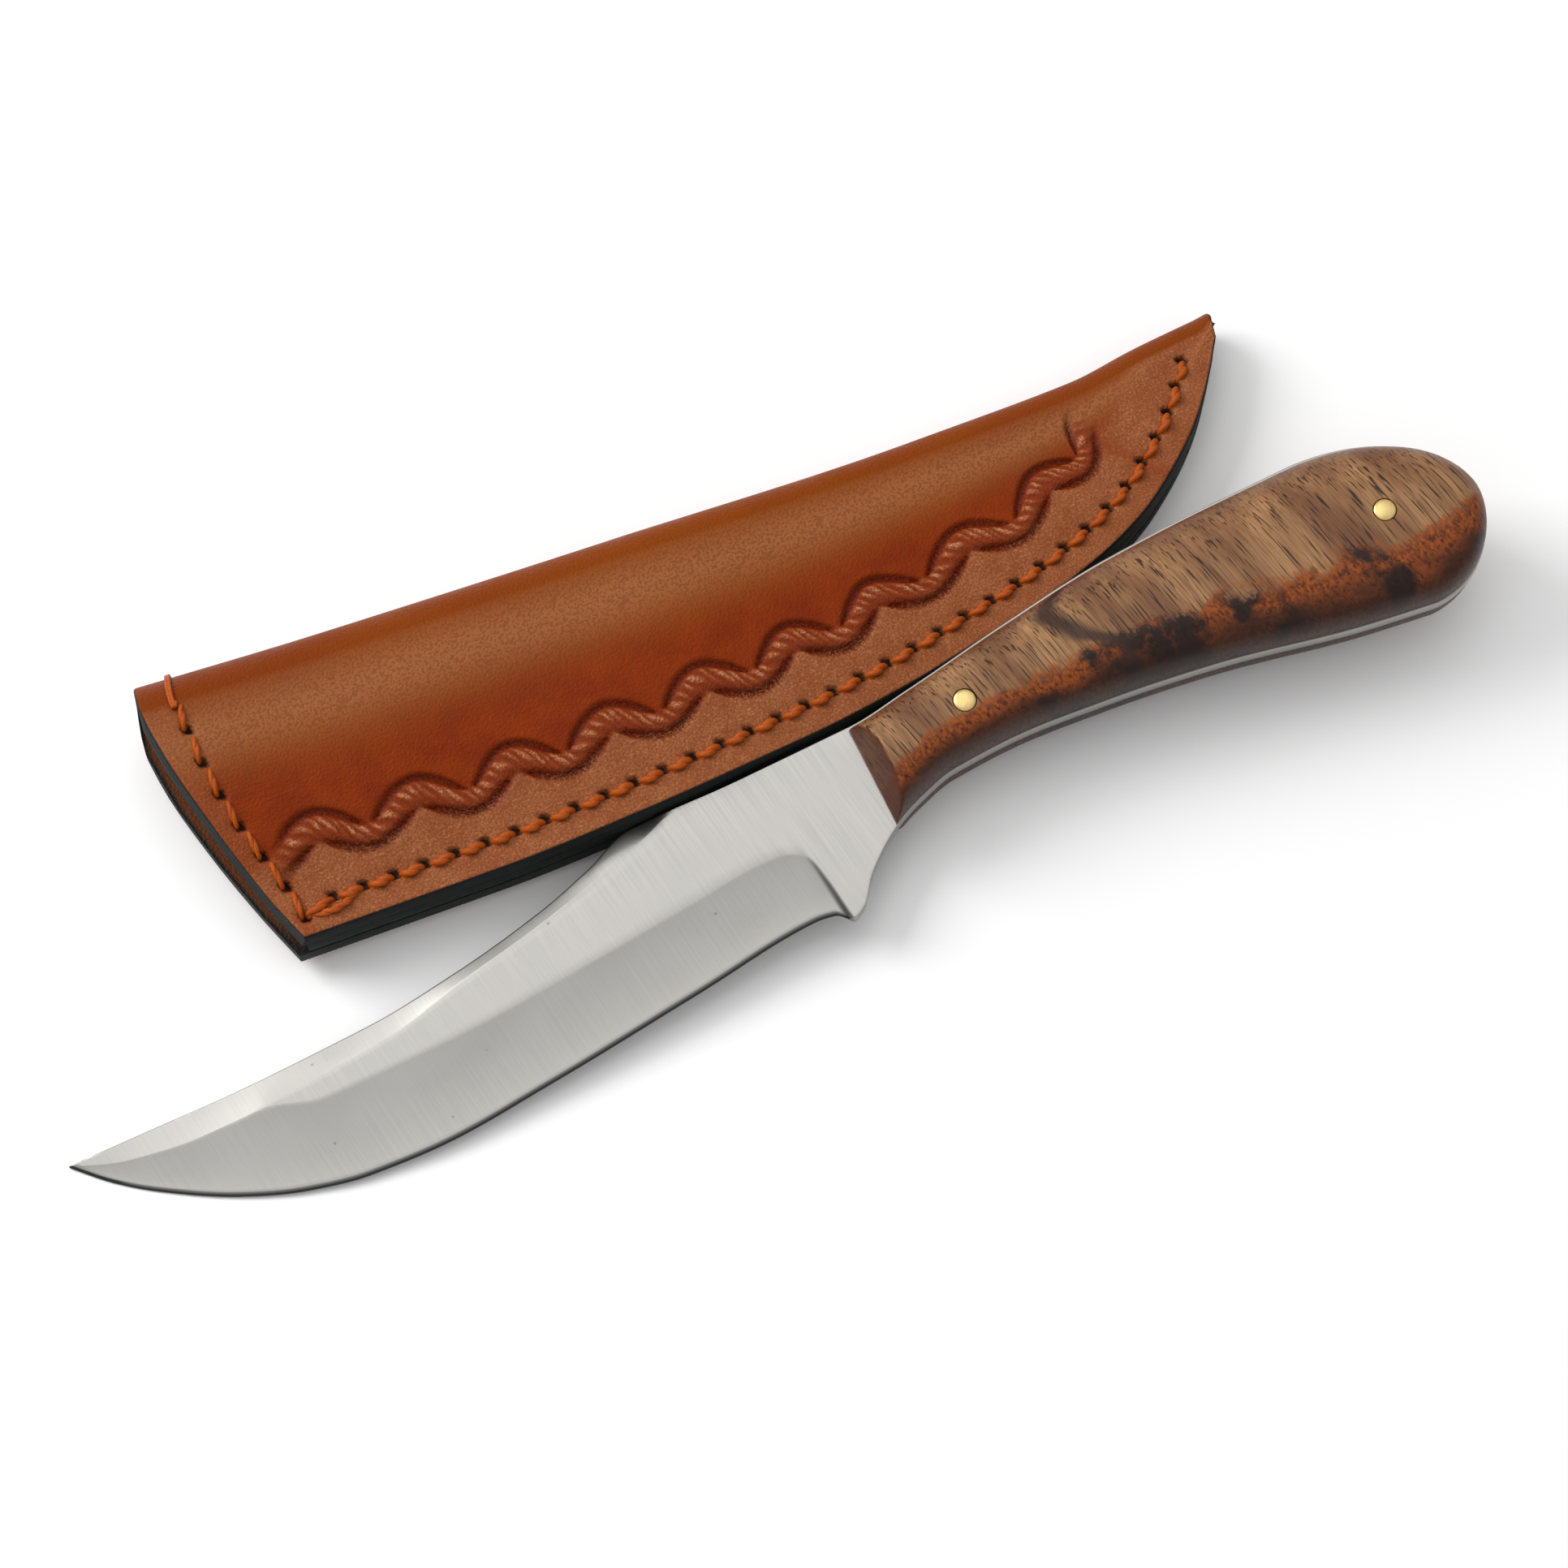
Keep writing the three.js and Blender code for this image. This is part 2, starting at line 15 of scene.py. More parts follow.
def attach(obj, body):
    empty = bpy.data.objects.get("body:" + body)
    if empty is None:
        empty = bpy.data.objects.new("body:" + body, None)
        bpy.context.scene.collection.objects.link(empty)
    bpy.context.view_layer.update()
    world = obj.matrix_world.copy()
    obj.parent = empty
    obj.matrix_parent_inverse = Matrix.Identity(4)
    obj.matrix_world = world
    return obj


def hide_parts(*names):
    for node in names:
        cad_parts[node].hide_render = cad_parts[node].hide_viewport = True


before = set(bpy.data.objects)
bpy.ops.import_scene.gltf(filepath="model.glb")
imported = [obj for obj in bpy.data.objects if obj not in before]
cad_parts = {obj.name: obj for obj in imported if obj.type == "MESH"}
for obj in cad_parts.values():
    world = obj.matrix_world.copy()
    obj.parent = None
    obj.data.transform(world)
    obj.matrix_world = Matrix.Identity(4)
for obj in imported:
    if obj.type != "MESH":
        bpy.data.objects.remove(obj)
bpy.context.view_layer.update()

MM = 0.001

# ---------------- driving dimensions, in mm
PLATE_THICKNESS = 2.4
TIP_HALF_THICKNESS = 0.25
EDGE_HALF_THICKNESS = 0.2
SHARP_HALF_THICKNESS = 0.05
SHARPENED_WIDTH = 0.62
SPINE_HALF_THICKNESS = 0.45
HOLLOW_POWER = 1.5
RIDGE_END_X = 27
PLUNGE_X = 107.8
PLUNGE_WIDTH = 1.0
RICASSO_X = 109.6
CLIP_X = 87.6
SWEDGE_END_X = 94
HANDLE_FRONT_X = 120.4
HANDLE_THICKNESS = 16.2
GLUE_LINE = 0.03
BUTT_X = 213.4
BUTT_UPPER = (191, 14.5)
BUTT_LOWER = (201, -12.3)
SCALE_INSET = 0.2
SPINE_INSET = 0.52
FRONT_SLOPE = 2.7
BUTT_ROUND = 7
SCALE_HALF_WIDTH = 9  # a usual section's, by which its points are spaced
SCALE_RISE = 6.75
SHOWN_WALL = 0.61  # the lower the number, the squarer a scale's lower side
HIDDEN_WALL = 0.44
UPPER_ACROSS = 1.0
UPPER_RISE = 0.9
PIN_RADIUS = 1.5875
PIN_CLEARANCE = 0.09
PIN_CROWN = 0.14
FRONT_PIN = (135.6, 2.6)
REAR_PIN = (199.1, 1.2)

KNIFE_TIP = (-108.5, -16.2, 0.3)
KNIFE_YAW = 5.4
KNIFE_PITCH = 3.7
KNIFE_ROLL = 4.5

LEATHER = 2.7
LAYER_GAP = 0.3
SEAM_HEIGHT = 3 * LEATHER + 2 * LAYER_GAP
SHEATH_TIP_X = 81.1
TIP_LEAN = 0.8
MOUTH_FOLD_HEIGHT = 14.6
TIP_FOLD_HEIGHT = 7.6
SEAM_WIDTH = 7.5
BACK_LIP = 1.3
MOUTH_SLANT = 0.5
LOOP_X = -70
LOOP_LENGTH = 58
LOOP_Y = 20
LOOP_WIDTH = 25
LOOP_THICKNESS = 2
LOOP_CORNER = 4
BACK_RAISE = LOOP_THICKNESS + LAYER_GAP
RAISE_END = (-10, 34)

THREAD_RADIUS = 0.6
STITCH_PITCH = 4.35
STITCH_INSET = 4.4
FIRST_STITCH_X = -63.2
LAST_STITCH_X = 74.9
LOOP_STITCH_INSET = 3.2
LOOP_STITCH_LENGTH = 12

# The tooled border: a ribbon that waves between stamped crescents, measured from the stitched edge
# and along it.
BORDER_ORIGIN_X = -70
BORDER_CENTRE = 12.25
BORDER_PITCH = 14.5
BORDER_START = 7.4  # the first upper crescent's middle
BORDER_END = 137
BORDER_STRETCH = 5.5  # by how much the last repeats are drawn out
BORDER_STRETCH_OVER = (95, 150)
BORDER_LIFT = 1.2  # towards the fold, at its end
CRESCENT_REACH = 4.2
RIBBON_CENTRE = -0.25
RIBBON_WAVE = 1.4
RIBBON_HALF = 1.6
RIBBON_SWELL = 0.25
BEAD_PITCH = 1.6
STAMP_DEPTH = 0.7

ROW_SHIFT = np.array([2.2, -7.3, 0.0])

KNIFE_PLACE = (
    Matrix.Translation(Vector(ROW_SHIFT + np.array(KNIFE_TIP)) * MM)
    @ Matrix.Rotation(math.radians(KNIFE_YAW), 4, "Z")
    @ Matrix.Rotation(math.radians(-KNIFE_PITCH), 4, "Y")
    @ Matrix.Rotation(math.radians(KNIFE_ROLL), 4, "X")
)


# ---------------- small tools
def mix(a, b, share):
    return a + (b - a) * share


def clip01(value):
    return np.clip(value, 0.0, 1.0)


def ease(value, start, end):
    """0 at start, 1 at end and smooth between."""
    share = clip01((value - start) / (end - start))
    return share * share * (3 - 2 * share)


def soft_min(a, b, radius):
    """The lower of a and b, rounded where they meet."""
    share = clip01(0.5 + 0.5 * (b - a) / radius)
    return mix(b, a, share) - radius * share * (1 - share)


def round_over(distance, radius):
    """How far a surface drops at this distance from a border that is rounded over."""
    inside = np.clip(radius - distance, 0, radius)
    return radius - np.sqrt(radius**2 - inside**2)


def through(*points):
    """A smooth single-valued curve through the points, without overshoot."""
    x, y = np.array(points, float).T
    slope = np.diff(y) / np.diff(x)
    before, after = slope[:-1], slope[1:]
    same = before * after > 0
    inner = np.where(same, 2 * before * after / np.where(same, before + after, 1), 0)
    tangent = np.concatenate([slope[:1], inner, slope[-1:]])

    def curve(at):
        at = np.asarray(at, float)
        i = np.clip(np.searchsorted(x, at, side="right") - 1, 0, len(x) - 2)
        span = x[i + 1] - x[i]
        s = clip01((at - x[i]) / span)
        return (
            y[i] * (2 * s**3 - 3 * s**2 + 1)
            + tangent[i] * span * (s**3 - 2 * s**2 + s)
            + y[i + 1] * (3 * s**2 - 2 * s**3)
            + tangent[i + 1] * span * (s**3 - s**2)
        )

    return curve


def grid_faces(rows, columns, wrap=False):
    """The four-sided faces of a grid of points, stored row by row."""
    across = columns if wrap else columns - 1
    i, j = np.meshgrid(np.arange(rows - 1), np.arange(across), indexing="ij")
    a = i * columns + j
    b = i * columns + (j + 1) % columns
    return np.stack([a, b, b + columns, a + columns], -1).reshape(-1, 4).tolist()


def add_piece(name, shape, material, body, replaced, fields=None, sharp=40):
    """A piece of the knife or the sheath. shape is its points, in mm, and faces.

    fields are numbers for each point, which its material reads.
    """
    points, faces = shape
    if body == "sheath":
        points = points + ROW_SHIFT
    mesh = bpy.data.meshes.new(name)
    mesh.from_pydata((np.asarray(points, float) * MM).tolist(), [], faces)
    for field, values in (fields or {}).items():
        attribute = mesh.attributes.new(field, "FLOAT", "POINT")
        attribute.data.foreach_set("value", np.asarray(values, np.float32).ravel())
    mesh.materials.append(material)
    mesh.shade_smooth()
    mesh.set_sharp_from_angle(angle=math.radians(sharp))
    mesh.update()
    piece = bpy.data.objects.new(name, mesh)
    bpy.context.scene.collection.objects.link(piece)
    if body == "knife":
        piece.matrix_world = KNIFE_PLACE
    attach(piece, body)
    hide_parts(*replaced)
    return piece


def loft(rings):
    """Points and faces of closed rings joined in order, with both ends closed."""
    count, size = rings.shape[:2]
    faces = grid_faces(count, size, wrap=True)
    faces.append(list(range(size))[::-1])
    faces.append(list(range((count - 1) * size, count * size)))
    return rings.reshape(-1, 3), faces


def strand(path, side, radius, sides=8):
    """A closed round rod along a path. side is a direction that the path never runs in, and radius
    is a number or one for each point."""
    along = np.gradient(path, axis=0)
    along /= np.linalg.norm(along, axis=1, keepdims=True)
    up = np.cross(along, side)
    up /= np.linalg.norm(up, axis=1, keepdims=True)
    across = np.cross(along, up)
    angle = np.linspace(0, 2 * math.pi, sides, endpoint=False)[None, :, None]
    spokes = np.cos(angle) * up[:, None] + np.sin(angle) * across[:, None]
    return loft(path[:, None] + np.reshape(radius, (-1, 1, 1)) * spokes)


def joined(parts):
    """Several meshes, each as points and faces, as one."""
    points, faces, start = [], [], 0
    for some_points, some_faces in parts:
        points.append(some_points)
        faces += [[start + i for i in face] for face in some_faces]
        start += len(some_points)
    return np.concatenate(points), faces


# ---------------- material tools
def rgb(red, green, blue):
    """A linear colour from screen values of 0 to 255."""
    def linear(value):
        value /= 255
        return value / 12.92 if value <= 0.04045 else ((value + 0.055) / 1.055) ** 2.4

    return (linear(red), linear(green), linear(blue), 1.0)


class Surface:
    """A Principled material with short calls for the nodes that feed it."""

    def __init__(self, name, **shader):
        self.material = bpy.data.materials.new(name)
        self.material.use_nodes = True
        self.tree = self.material.node_tree
        self.shader = self.tree.nodes["Principled BSDF"]
        for socket, value in shader.items():
            self.shader.inputs[socket.replace("_", " ")].default_value = value

    def node(self, kind, inputs, output=0, **settings):
        made = self.tree.nodes.new("ShaderNode" + kind)
        for setting, value in settings.items():
            setattr(made, setting, value)
        for socket, value in inputs.items():
            if isinstance(value, bpy.types.NodeSocket):
                self.tree.links.new(value, made.inputs[socket])
            else:
                made.inputs[socket].default_value = value
        return made.outputs[output]

    def feed(self, socket, value):
        self.tree.links.new(value, self.shader.inputs[socket])

    def place(self, size=(1, 1, 1), turn=0.0):
        """Object coordinates, in units of size mm, turned about z by so many degrees first."""
        where = self.node("TexCoord", {}, output="Object")
        if turn:
            where = self.node("Mapping", {"Vector": where, "Rotation": (0, 0, math.radians(turn))})
        return self.node("Mapping", {"Vector": where, "Scale": [1 / (s * MM) for s in size]})

    def noise(self, size, turn=0.0, detail=3.0, roughness=0.5, distortion=0.0):
        inputs = {"Vector": self.place(size, turn), "Scale": 1.0, "Detail": detail}
        return self.node("TexNoise", {**inputs, "Roughness": roughness, "Distortion": distortion})

    def cells(self, size):
        return self.node("TexVoronoi", {"Vector": self.place(size), "Scale": 1.0}, output="Distance")

    def fit(self, value, start, end, low=0.0, high=1.0):
        inputs = {"Value": value, "From Min": start, "From Max": end, "To Min": low, "To Max": high}
        return self.node("MapRange", inputs, interpolation_type="SMOOTHSTEP")

    def math(self, operation, a, b=0.0):
        return self.node("Math", {0: a, 1: b}, operation=operation)

    def blend(self, share, a, b):
        return self.node("Mix", {0: share, 6: a, 7: b}, output=2, data_type="RGBA")

    def field(self, name):
        return self.node("Attribute", {}, output="Fac", attribute_name=name)

    def bump(self, height, distance, strength=1.0, below=None):
        inputs = {"Height": height, "Distance": distance * MM, "Strength": strength}
        if below is not None:
            inputs["Normal"] = below
        return self.node("Bump", inputs)


def steel_material():
    """Belt-finished stainless: fine lines across the blade, a few specks, and a painted dark
    reflection along the cutting edge and at the plunge.
    """
    s = Surface("satin_steel", Metallic=1.0)
    lines = s.noise((0.12, 14, 14), turn=-8, detail=2)
    broad = s.noise((16, 9, 9), detail=2)
    specks = s.fit(s.cells((5, 5, 5)), 0.03, 0.055, 1, 0)
    colour = s.blend(broad, rgb(164, 161, 157), rgb(175, 173, 169))
    colour = s.blend(s.fit(lines, 0.3, 0.7, 0, 0.2), colour, rgb(136, 135, 132))
    colour = s.blend(s.math("MULTIPLY", specks, 0.45), colour, rgb(90, 88, 86))
    # painted dark reflection: the cutting edge's narrow bevel and the plunge are darkened in the colour
    colour = s.blend(s.field("painted_dark_reflection"), colour, rgb(58, 60, 60))
    s.feed("Base Color", colour)
    s.feed("Roughness", s.fit(s.math("ADD", lines, broad), 0.6, 1.4, 0.27, 0.38))
    s.feed("Normal", s.bump(lines, 0.004, 0.5))
    return s.material


def brass_material():
    s = Surface("brass", Metallic=1.0)
    lines = s.noise((0.1, 1.5, 1.5), turn=30, detail=2)
    cloud = s.noise((1.2, 1.2, 1.2))
    colour = s.blend(cloud, rgb(214, 184, 116), rgb(232, 208, 148))
    s.feed("Base Color", s.blend(s.fit(lines, 0.35, 0.7, 0, 0.3), colour, rgb(180, 148, 88)))
    s.feed("Roughness", s.fit(cloud, 0.3, 0.7, 0.26, 0.4))
    s.feed("Normal", s.bump(lines, 0.004, 0.6))
    return s.material


def wood_material():
    """Oiled walnut with its grain across the handle. Painted shade darkens the spine side and the
    lowest edge; the lower side is red-brown, partly its own colour and partly painted shade.
    """
    s = Surface("walnut", Specular_IOR_Level=0.22, Coat_Weight=0.06, Coat_Roughness=0.25)
    lean = -12  # of the grain, in degrees
    burl_x, figure_x = 158, 153  # the darkest stretch and the dark curved line, in mm from the tip
    bands = s.noise((7, 40, 14), turn=lean, detail=3, roughness=0.55, distortion=0.3)
    fibre = s.noise((0.28, 9, 1.2), turn=lean, detail=4, roughness=0.6)
    pores = s.noise((0.24, 5.6, 0.8), turn=lean, detail=2, roughness=0.35, distortion=0.2)
    blotch = s.noise((6, 5, 6), detail=4, roughness=0.6)
    cloud = s.noise((9, 7, 7), detail=4, roughness=0.6, distortion=0.6)
    fleck = s.noise((0.5, 0.9, 0.6), turn=lean, detail=4, roughness=0.7)
    side = s.field("side")

    tan = s.blend(s.fit(bands, 0.36, 0.66), rgb(166, 124, 82), rgb(114, 74, 46))
    tan = s.blend(s.fit(fibre, 0.35, 0.7, 0, 0.6), tan, rgb(88, 54, 34))
    tan = s.blend(s.fit(pores, 0.57, 0.65, 0, 0.9), tan, rgb(36, 22, 16))
    # painted shade: the spine side of the scale is darkened towards its edge
    tan = s.blend(s.fit(side, 0.6, 0.95, 0, 0.6), tan, rgb(92, 56, 36))

    # The lower rounded side turns red-brown: partly the wood's own colour and partly painted shade where it
    # turns away from the light.
    edge = s.math("ADD", side, s.fit(cloud, 0.2, 0.8, -0.16, 0.16))
    edge = s.math("ADD", edge, s.fit(fleck, 0.25, 0.75, -0.1, 0.1))
    low = s.fit(edge, -0.22, -0.42)
    red = s.blend(s.fit(fleck, 0.36, 0.66), rgb(146, 72, 16), rgb(66, 22, 6))
    along = s.node("SeparateXYZ", {"Vector": s.place((1, 1, 1), turn=lean)}, output="X")
    burl = s.fit(s.math("ABSOLUTE", s.math("SUBTRACT", along, burl_x)), 5, 26, 0.08, -0.06)
    soot = s.math("ADD", s.math("ADD", bands, blotch), burl)
    red = s.blend(s.fit(soot, 1.0, 1.22, 0, 0.94), red, rgb(14, 7, 4))
    # painted shade: near black along the lowest edge of the scale
    red = s.blend(s.fit(edge, -0.55, -0.9, 0, 0.85), red, rgb(34, 18, 12))
    colour = s.blend(low, tan, red)

    wander = s.fit(s.noise((60, 16, 9), detail=2), 0.2, 0.8, -5, 5)
    figure = s.math("ABSOLUTE", s.math("SUBTRACT", s.math("ADD", along, wander), figure_x))
    colour = s.blend(s.fit(figure, 0.4, 2.2, 0.85, 0), colour, rgb(36, 20, 16))
    rim = s.math("ADD", along, s.fit(fleck, 0.2, 0.8, -3, 3))
    colour = s.blend(s.fit(rim, 209, 216, 0, 0.8), colour, rgb(72, 32, 18))
    colour = s.blend(s.math("MULTIPLY", s.field("front"), 0.85), colour, rgb(70, 32, 18))
    s.feed("Base Color", colour)
    s.feed("Roughness", s.fit(fibre, 0.3, 0.7, 0.34, 0.48))
    s.feed("Normal", s.bump(pores, -0.05, 0.5, s.bump(fibre, 0.02, 0.4)))
    return s.material


def leather_material():
    """Vegetable-tanned leather: pebbled, with dark dye where it was stamped and black at its edges;
    painted shade under the tooled ribbon and in the stitch holes, painted glints on the ribbon's
    beads, a painted sheen band and painted light near the fold, and painted highlight on the margin.
    """
    s = Surface("tooled_leather", Specular_IOR_Level=0.08)
    pebble = s.noise((0.38, 0.38, 0.38), detail=0)
    pores = s.noise((0.3, 0.3, 0.3), detail=2)
    mottle = s.noise((5, 5, 5), detail=4, roughness=0.6)
    broad = s.noise((34, 20, 20), detail=2)
    crease = s.fit(pebble, 0.42, 0.66)

    deep = s.blend(s.fit(mottle, 0.3, 0.7), rgb(116, 35, 0), rgb(129, 45, 0))
    # Towards the fold the tone turns more orange: partly the leather's own antiquing and partly painted
    # light where the fold faces the light.
    fold = s.blend(s.fit(broad, 0.35, 0.65), rgb(118, 48, 0), rgb(126, 56, 0))
    grain = s.blend(s.field("fold"), deep, fold)
    # painted sheen: a pale band near the fold where the light glances off, with the pebble creases showing
    # darker inside it
    grain = s.blend(s.math("MULTIPLY", s.field("painted_sheen"), 0.8), grain, rgb(152, 94, 56))
    speckle = s.math("MULTIPLY", crease, s.fit(s.field("painted_sheen"), 0, 1, 0.2, 0.42))
    grain = s.blend(speckle, grain, rgb(98, 46, 16))
    # The paler margin: partly the leather's own lighter colour and partly painted highlight, with pale
    # flecks on its pebbles.
    margin = s.blend(s.fit(mottle, 0.3, 0.7), rgb(150, 90, 54), rgb(138, 76, 42))
    margin = s.blend(s.fit(pores, 0.4, 0.62, 0, 0.6), margin, rgb(112, 58, 28))
    margin = s.blend(s.fit(pores, 0.4, 0.3, 0, 0.38), margin, rgb(184, 124, 84))
    grain = s.blend(s.field("margin"), grain, margin)
    grain = s.blend(s.math("MULTIPLY", s.field("ribbon"), 0.8), grain, rgb(130, 54, 20))
    # painted glints: pale flecks on the ribbon's beads, where light catches them
    fleck = s.math("MULTIPLY", s.field("bead_and_glint"), s.fit(pores, 0.62, 0.36, 0.15, 0.85))
    grain = s.blend(fleck, grain, rgb(196, 134, 94))
    # dark dye in the stamped hollows, and painted shade under the ribbon
    stipple = s.math("MULTIPLY", s.field("tooled_dark_and_shade"), s.fit(pores, 0.36, 0.58, 0.45, 1))
    grain = s.blend(stipple, grain, rgb(72, 18, 4))
    # painted shade: the stitch holes are darkened to near black
    grain = s.blend(s.field("hole"), grain, rgb(22, 8, 5))

    fibres = s.noise((0.5, 0.18, 0.5), detail=4, roughness=0.7)
    flesh = s.blend(fibres, rgb(60, 28, 12), rgb(116, 66, 34))
    colour = s.blend(s.field("flesh"), grain, flesh)
    dye = s.blend(mottle, rgb(12, 15, 14), rgb(32, 37, 34))
    colour = s.blend(s.field("dye"), colour, dye)
    s.feed("Base Color", colour)
    s.feed("Roughness", s.fit(mottle, 0.3, 0.7, 0.4, 0.5))
    rough = s.bump(pores, 0.05, 0.6)
    s.feed("Normal", s.bump(pebble, -0.15, 0.7, rough))
    return s.material


def edge_material():
    """The burnished, dyed edge of stacked leather: faint layers along it."""
    s = Surface("dyed_edge", Specular_IOR_Level=0.06)
    layers = s.noise((14, 14, 0.5), detail=3)
    specks = s.noise((0.4, 0.4, 0.4), detail=3)
    colour = s.blend(layers, rgb(12, 15, 14), rgb(44, 50, 47))
    s.feed("Base Color", s.blend(s.fit(specks, 0.6, 0.75, 0, 0.4), colour, rgb(56, 54, 46)))
    s.feed("Roughness", s.fit(layers, 0.3, 0.7, 0.5, 0.7))
    s.feed("Normal", s.bump(specks, 0.06, 0.5, s.bump(layers, 0.08, 0.4)))
    return s.material


def thread_material():
    """Waxed thread: fine fibres along the twist."""
    s = Surface("waxed_thread", Specular_IOR_Level=0.2)
    fibre = s.noise((0.12, 0.12, 0.12), detail=3)
    cloud = s.noise((3, 3, 3))
    colour = s.blend(cloud, rgb(190, 90, 8), rgb(160, 64, 4))
    s.feed("Base Color", s.blend(s.fit(fibre, 0.4, 0.7, 0, 0.6), colour, rgb(90, 30, 5)))
    s.feed("Roughness", s.fit(fibre, 0.3, 0.7, 0.42, 0.6))
    s.feed("Normal", s.bump(fibre, 0.05, 0.6))
    return s.material


STEEL = steel_material()
BRASS = brass_material()
WOOD = wood_material()
LEATHER_SURFACE = leather_material()
DYED_EDGE = edge_material()
THREAD = thread_material()

# ---------------- knife outlines
spine_y = through(
    (0, 0), (12, -0.4), (26, -0.8), (44, -0.5), (58, 1), (72, 3.6), (80, 5.9), (CLIP_X, 8.5),
    (104, 8), (HANDLE_FRONT_X, 8), (130, 9.2), (146, 11.7), (163, 13.8), (178, 14.4), BUTT_UPPER,
)
belly_y = through(
    (0, 0), (4.7, -4.7), (10.2, -8.8), (19.7, -14.2), (27.8, -17.3), (36.3, -19.1), (47, -19.7),
    (63, -18.6), (86, -16.3), (104.7, -14.4), (107.5, -14.8), (RICASSO_X, -16.4), (111.4, -15.6),
    (114.4, -12), (120.8, -7.3), (125.6, -5.3), (131, -3.9), (140, -3.5), (154, -4.5), (170, -6.6),
    (190, -10.7), BUTT_LOWER,
)
grind_y = through(
    (0, 0), (7.5, -2.8), (18, -4.4), (RIDGE_END_X, -4.7), (35, -6.9), (54, -7.1), (73, -6.1),
    (91, -4.7), (101, -3.9), (105, -4.2), (PLUNGE_X, -5.8), (112, -6.5), (118, -3), (130, 0), (BUTT_X, 0),
)
swedge_y = through(
    (0, 0), (7.5, -2.8), (18, -4.4), (RIDGE_END_X, -4.6), (46, -3.5), (58, -0.8), (71, 1.6),
    (CLIP_X, 5.7), (SWEDGE_END_X, 7.8), (BUTT_X, 7.9),
)
plunge_x = through((-16.4, 109.6), (-15, 109.4), (-10, 108.8), (-5.8, 107.9), (-4.7, 106.2), (-4.1, 104))


def round_butt(outline, corner):
    """The outline up to its corner, then a quarter of an ellipse down to the middle of the butt."""
    def curve(x):
        s = clip01((x - corner[0]) / (BUTT_X - corner[0]))
        return np.where(x <= corner[0], outline(x), corner[1] * np.sqrt(1 - s * s))

    return curve


handle_upper = round_butt(spine_y, BUTT_UPPER)
handle_lower = round_butt(belly_y, BUTT_LOWER)


def butt_stations(start, count):
    """Places that crowd together towards the butt, where the outline turns."""
    turn = np.linspace(0, math.pi / 2, count + 1)[1:]
    return mix(start, BUTT_X - 0.02, np.sin(turn))


# ---------------- knife pieces
def plate_half(x, y):
    """Half the plate's thickness at a place on its face, before its borders are eased."""
    low, high, grind = handle_lower(x), handle_upper(x), grind_y(x)
    full = mix(TIP_HALF_THICKNESS, PLATE_THICKNESS / 2, clip01(x / RIDGE_END_X))
    rise = clip01((y - low) / np.maximum(grind - low, 0.01))
    bevel = EDGE_HALF_THICKNESS + (full - EDGE_HALF_THICKNESS) * rise**HOLLOW_POWER
    slope = (EDGE_HALF_THICKNESS - SHARP_HALF_THICKNESS) / SHARPENED_WIDTH
    bevel = np.minimum(bevel, SHARP_HALF_THICKNESS + slope * (y - low))
    bevel = mix(bevel, full, ease(x, plunge_x(y) - PLUNGE_WIDTH, plunge_x(y)))
    swedge = np.minimum(swedge_y(x), high - 0.05)
    fall = clip01((y - swedge) / (high - swedge)) * (1 - ease(x, SWEDGE_END_X - 5, SWEDGE_END_X))
    return np.minimum(bevel, mix(full, np.minimum(SPINE_HALF_THICKNESS, full), fall))


def make_blade():
    """Blade and tang: rings across the plate, close together at the tip, the plunge and the butt."""
    stations = np.concatenate([
        np.linspace(0.25, 3, 12)[:-1],
        np.linspace(3, 100, 130)[:-1],
        np.linspace(100, 112, 90)[:-1],
        np.linspace(112, BUTT_UPPER[0], 90)[:-1],
        butt_stations(BUTT_UPPER[0], 36),
    ])[:, None]
    low, high = handle_lower(stations), handle_upper(stations)
    height = high - low
    grind = np.clip(grind_y(stations), mix(low, high, 0.1), mix(low, high, 0.85))
    swedge = np.clip(swedge_y(stations), grind + 0.004 * height, mix(low, high, 0.97))
    border = np.array([0, 0.04, 0.12, 0.25, SHARPENED_WIDTH, SHARPENED_WIDTH + 0.08])
    border = border * np.minimum(1, height / 6)
    y = np.concatenate([
        low + border,
        mix(low + border[:, -1:], grind, np.linspace(0, 1, 26)[None, 1:]),
        mix(grind, swedge, np.linspace(0, 1, 8)[None, 1:]),
        mix(swedge, high - border[:, 3:4], np.linspace(0, 1, 9)[None, 1:]),
        high - border[:, 2::-1],
    ], axis=1)
    x = np.broadcast_to(stations, y.shape)
    half = plate_half(x, y)
    below = round_over(y - low, 0.18) * ease(x, RICASSO_X - 0.7, RICASSO_X + 0.4)
    above = round_over(high - y, 0.14)
    half = np.maximum(half - np.minimum(below + above, 0.35 * half), 0.02)
    left = np.stack([x, y, half], -1)
    right = np.stack([x, y, -half], -1)
    rings = np.concatenate([left, right[:, ::-1]], axis=1)
    # The mask of painted dark reflection: the narrow bevel along the cutting edge, and a smear at the
    # plunge.
    sharp = 1 - ease(y - low, SHARPENED_WIDTH * 0.8, SHARPENED_WIDTH * 1.15)
    sharp = sharp * (x < RICASSO_X - 0.6)
    from_plunge = (x - plunge_x(y) + 0.45 * PLUNGE_WIDTH) / 0.25
    plunge = np.exp(-(from_plunge**2)) * (1 - ease(y, -8, -4.5))
    sharp = np.maximum(sharp, 0.6 * plunge * (x < RICASSO_X))
    sharp = np.concatenate([sharp, sharp[:, ::-1]], axis=1)
    shape = loft(rings[:, ::-1])
    fields = {"painted_dark_reflection": sharp[:, ::-1]}
    return add_piece("knife_blade", shape, STEEL, "knife", ["blade"], fields, 25)


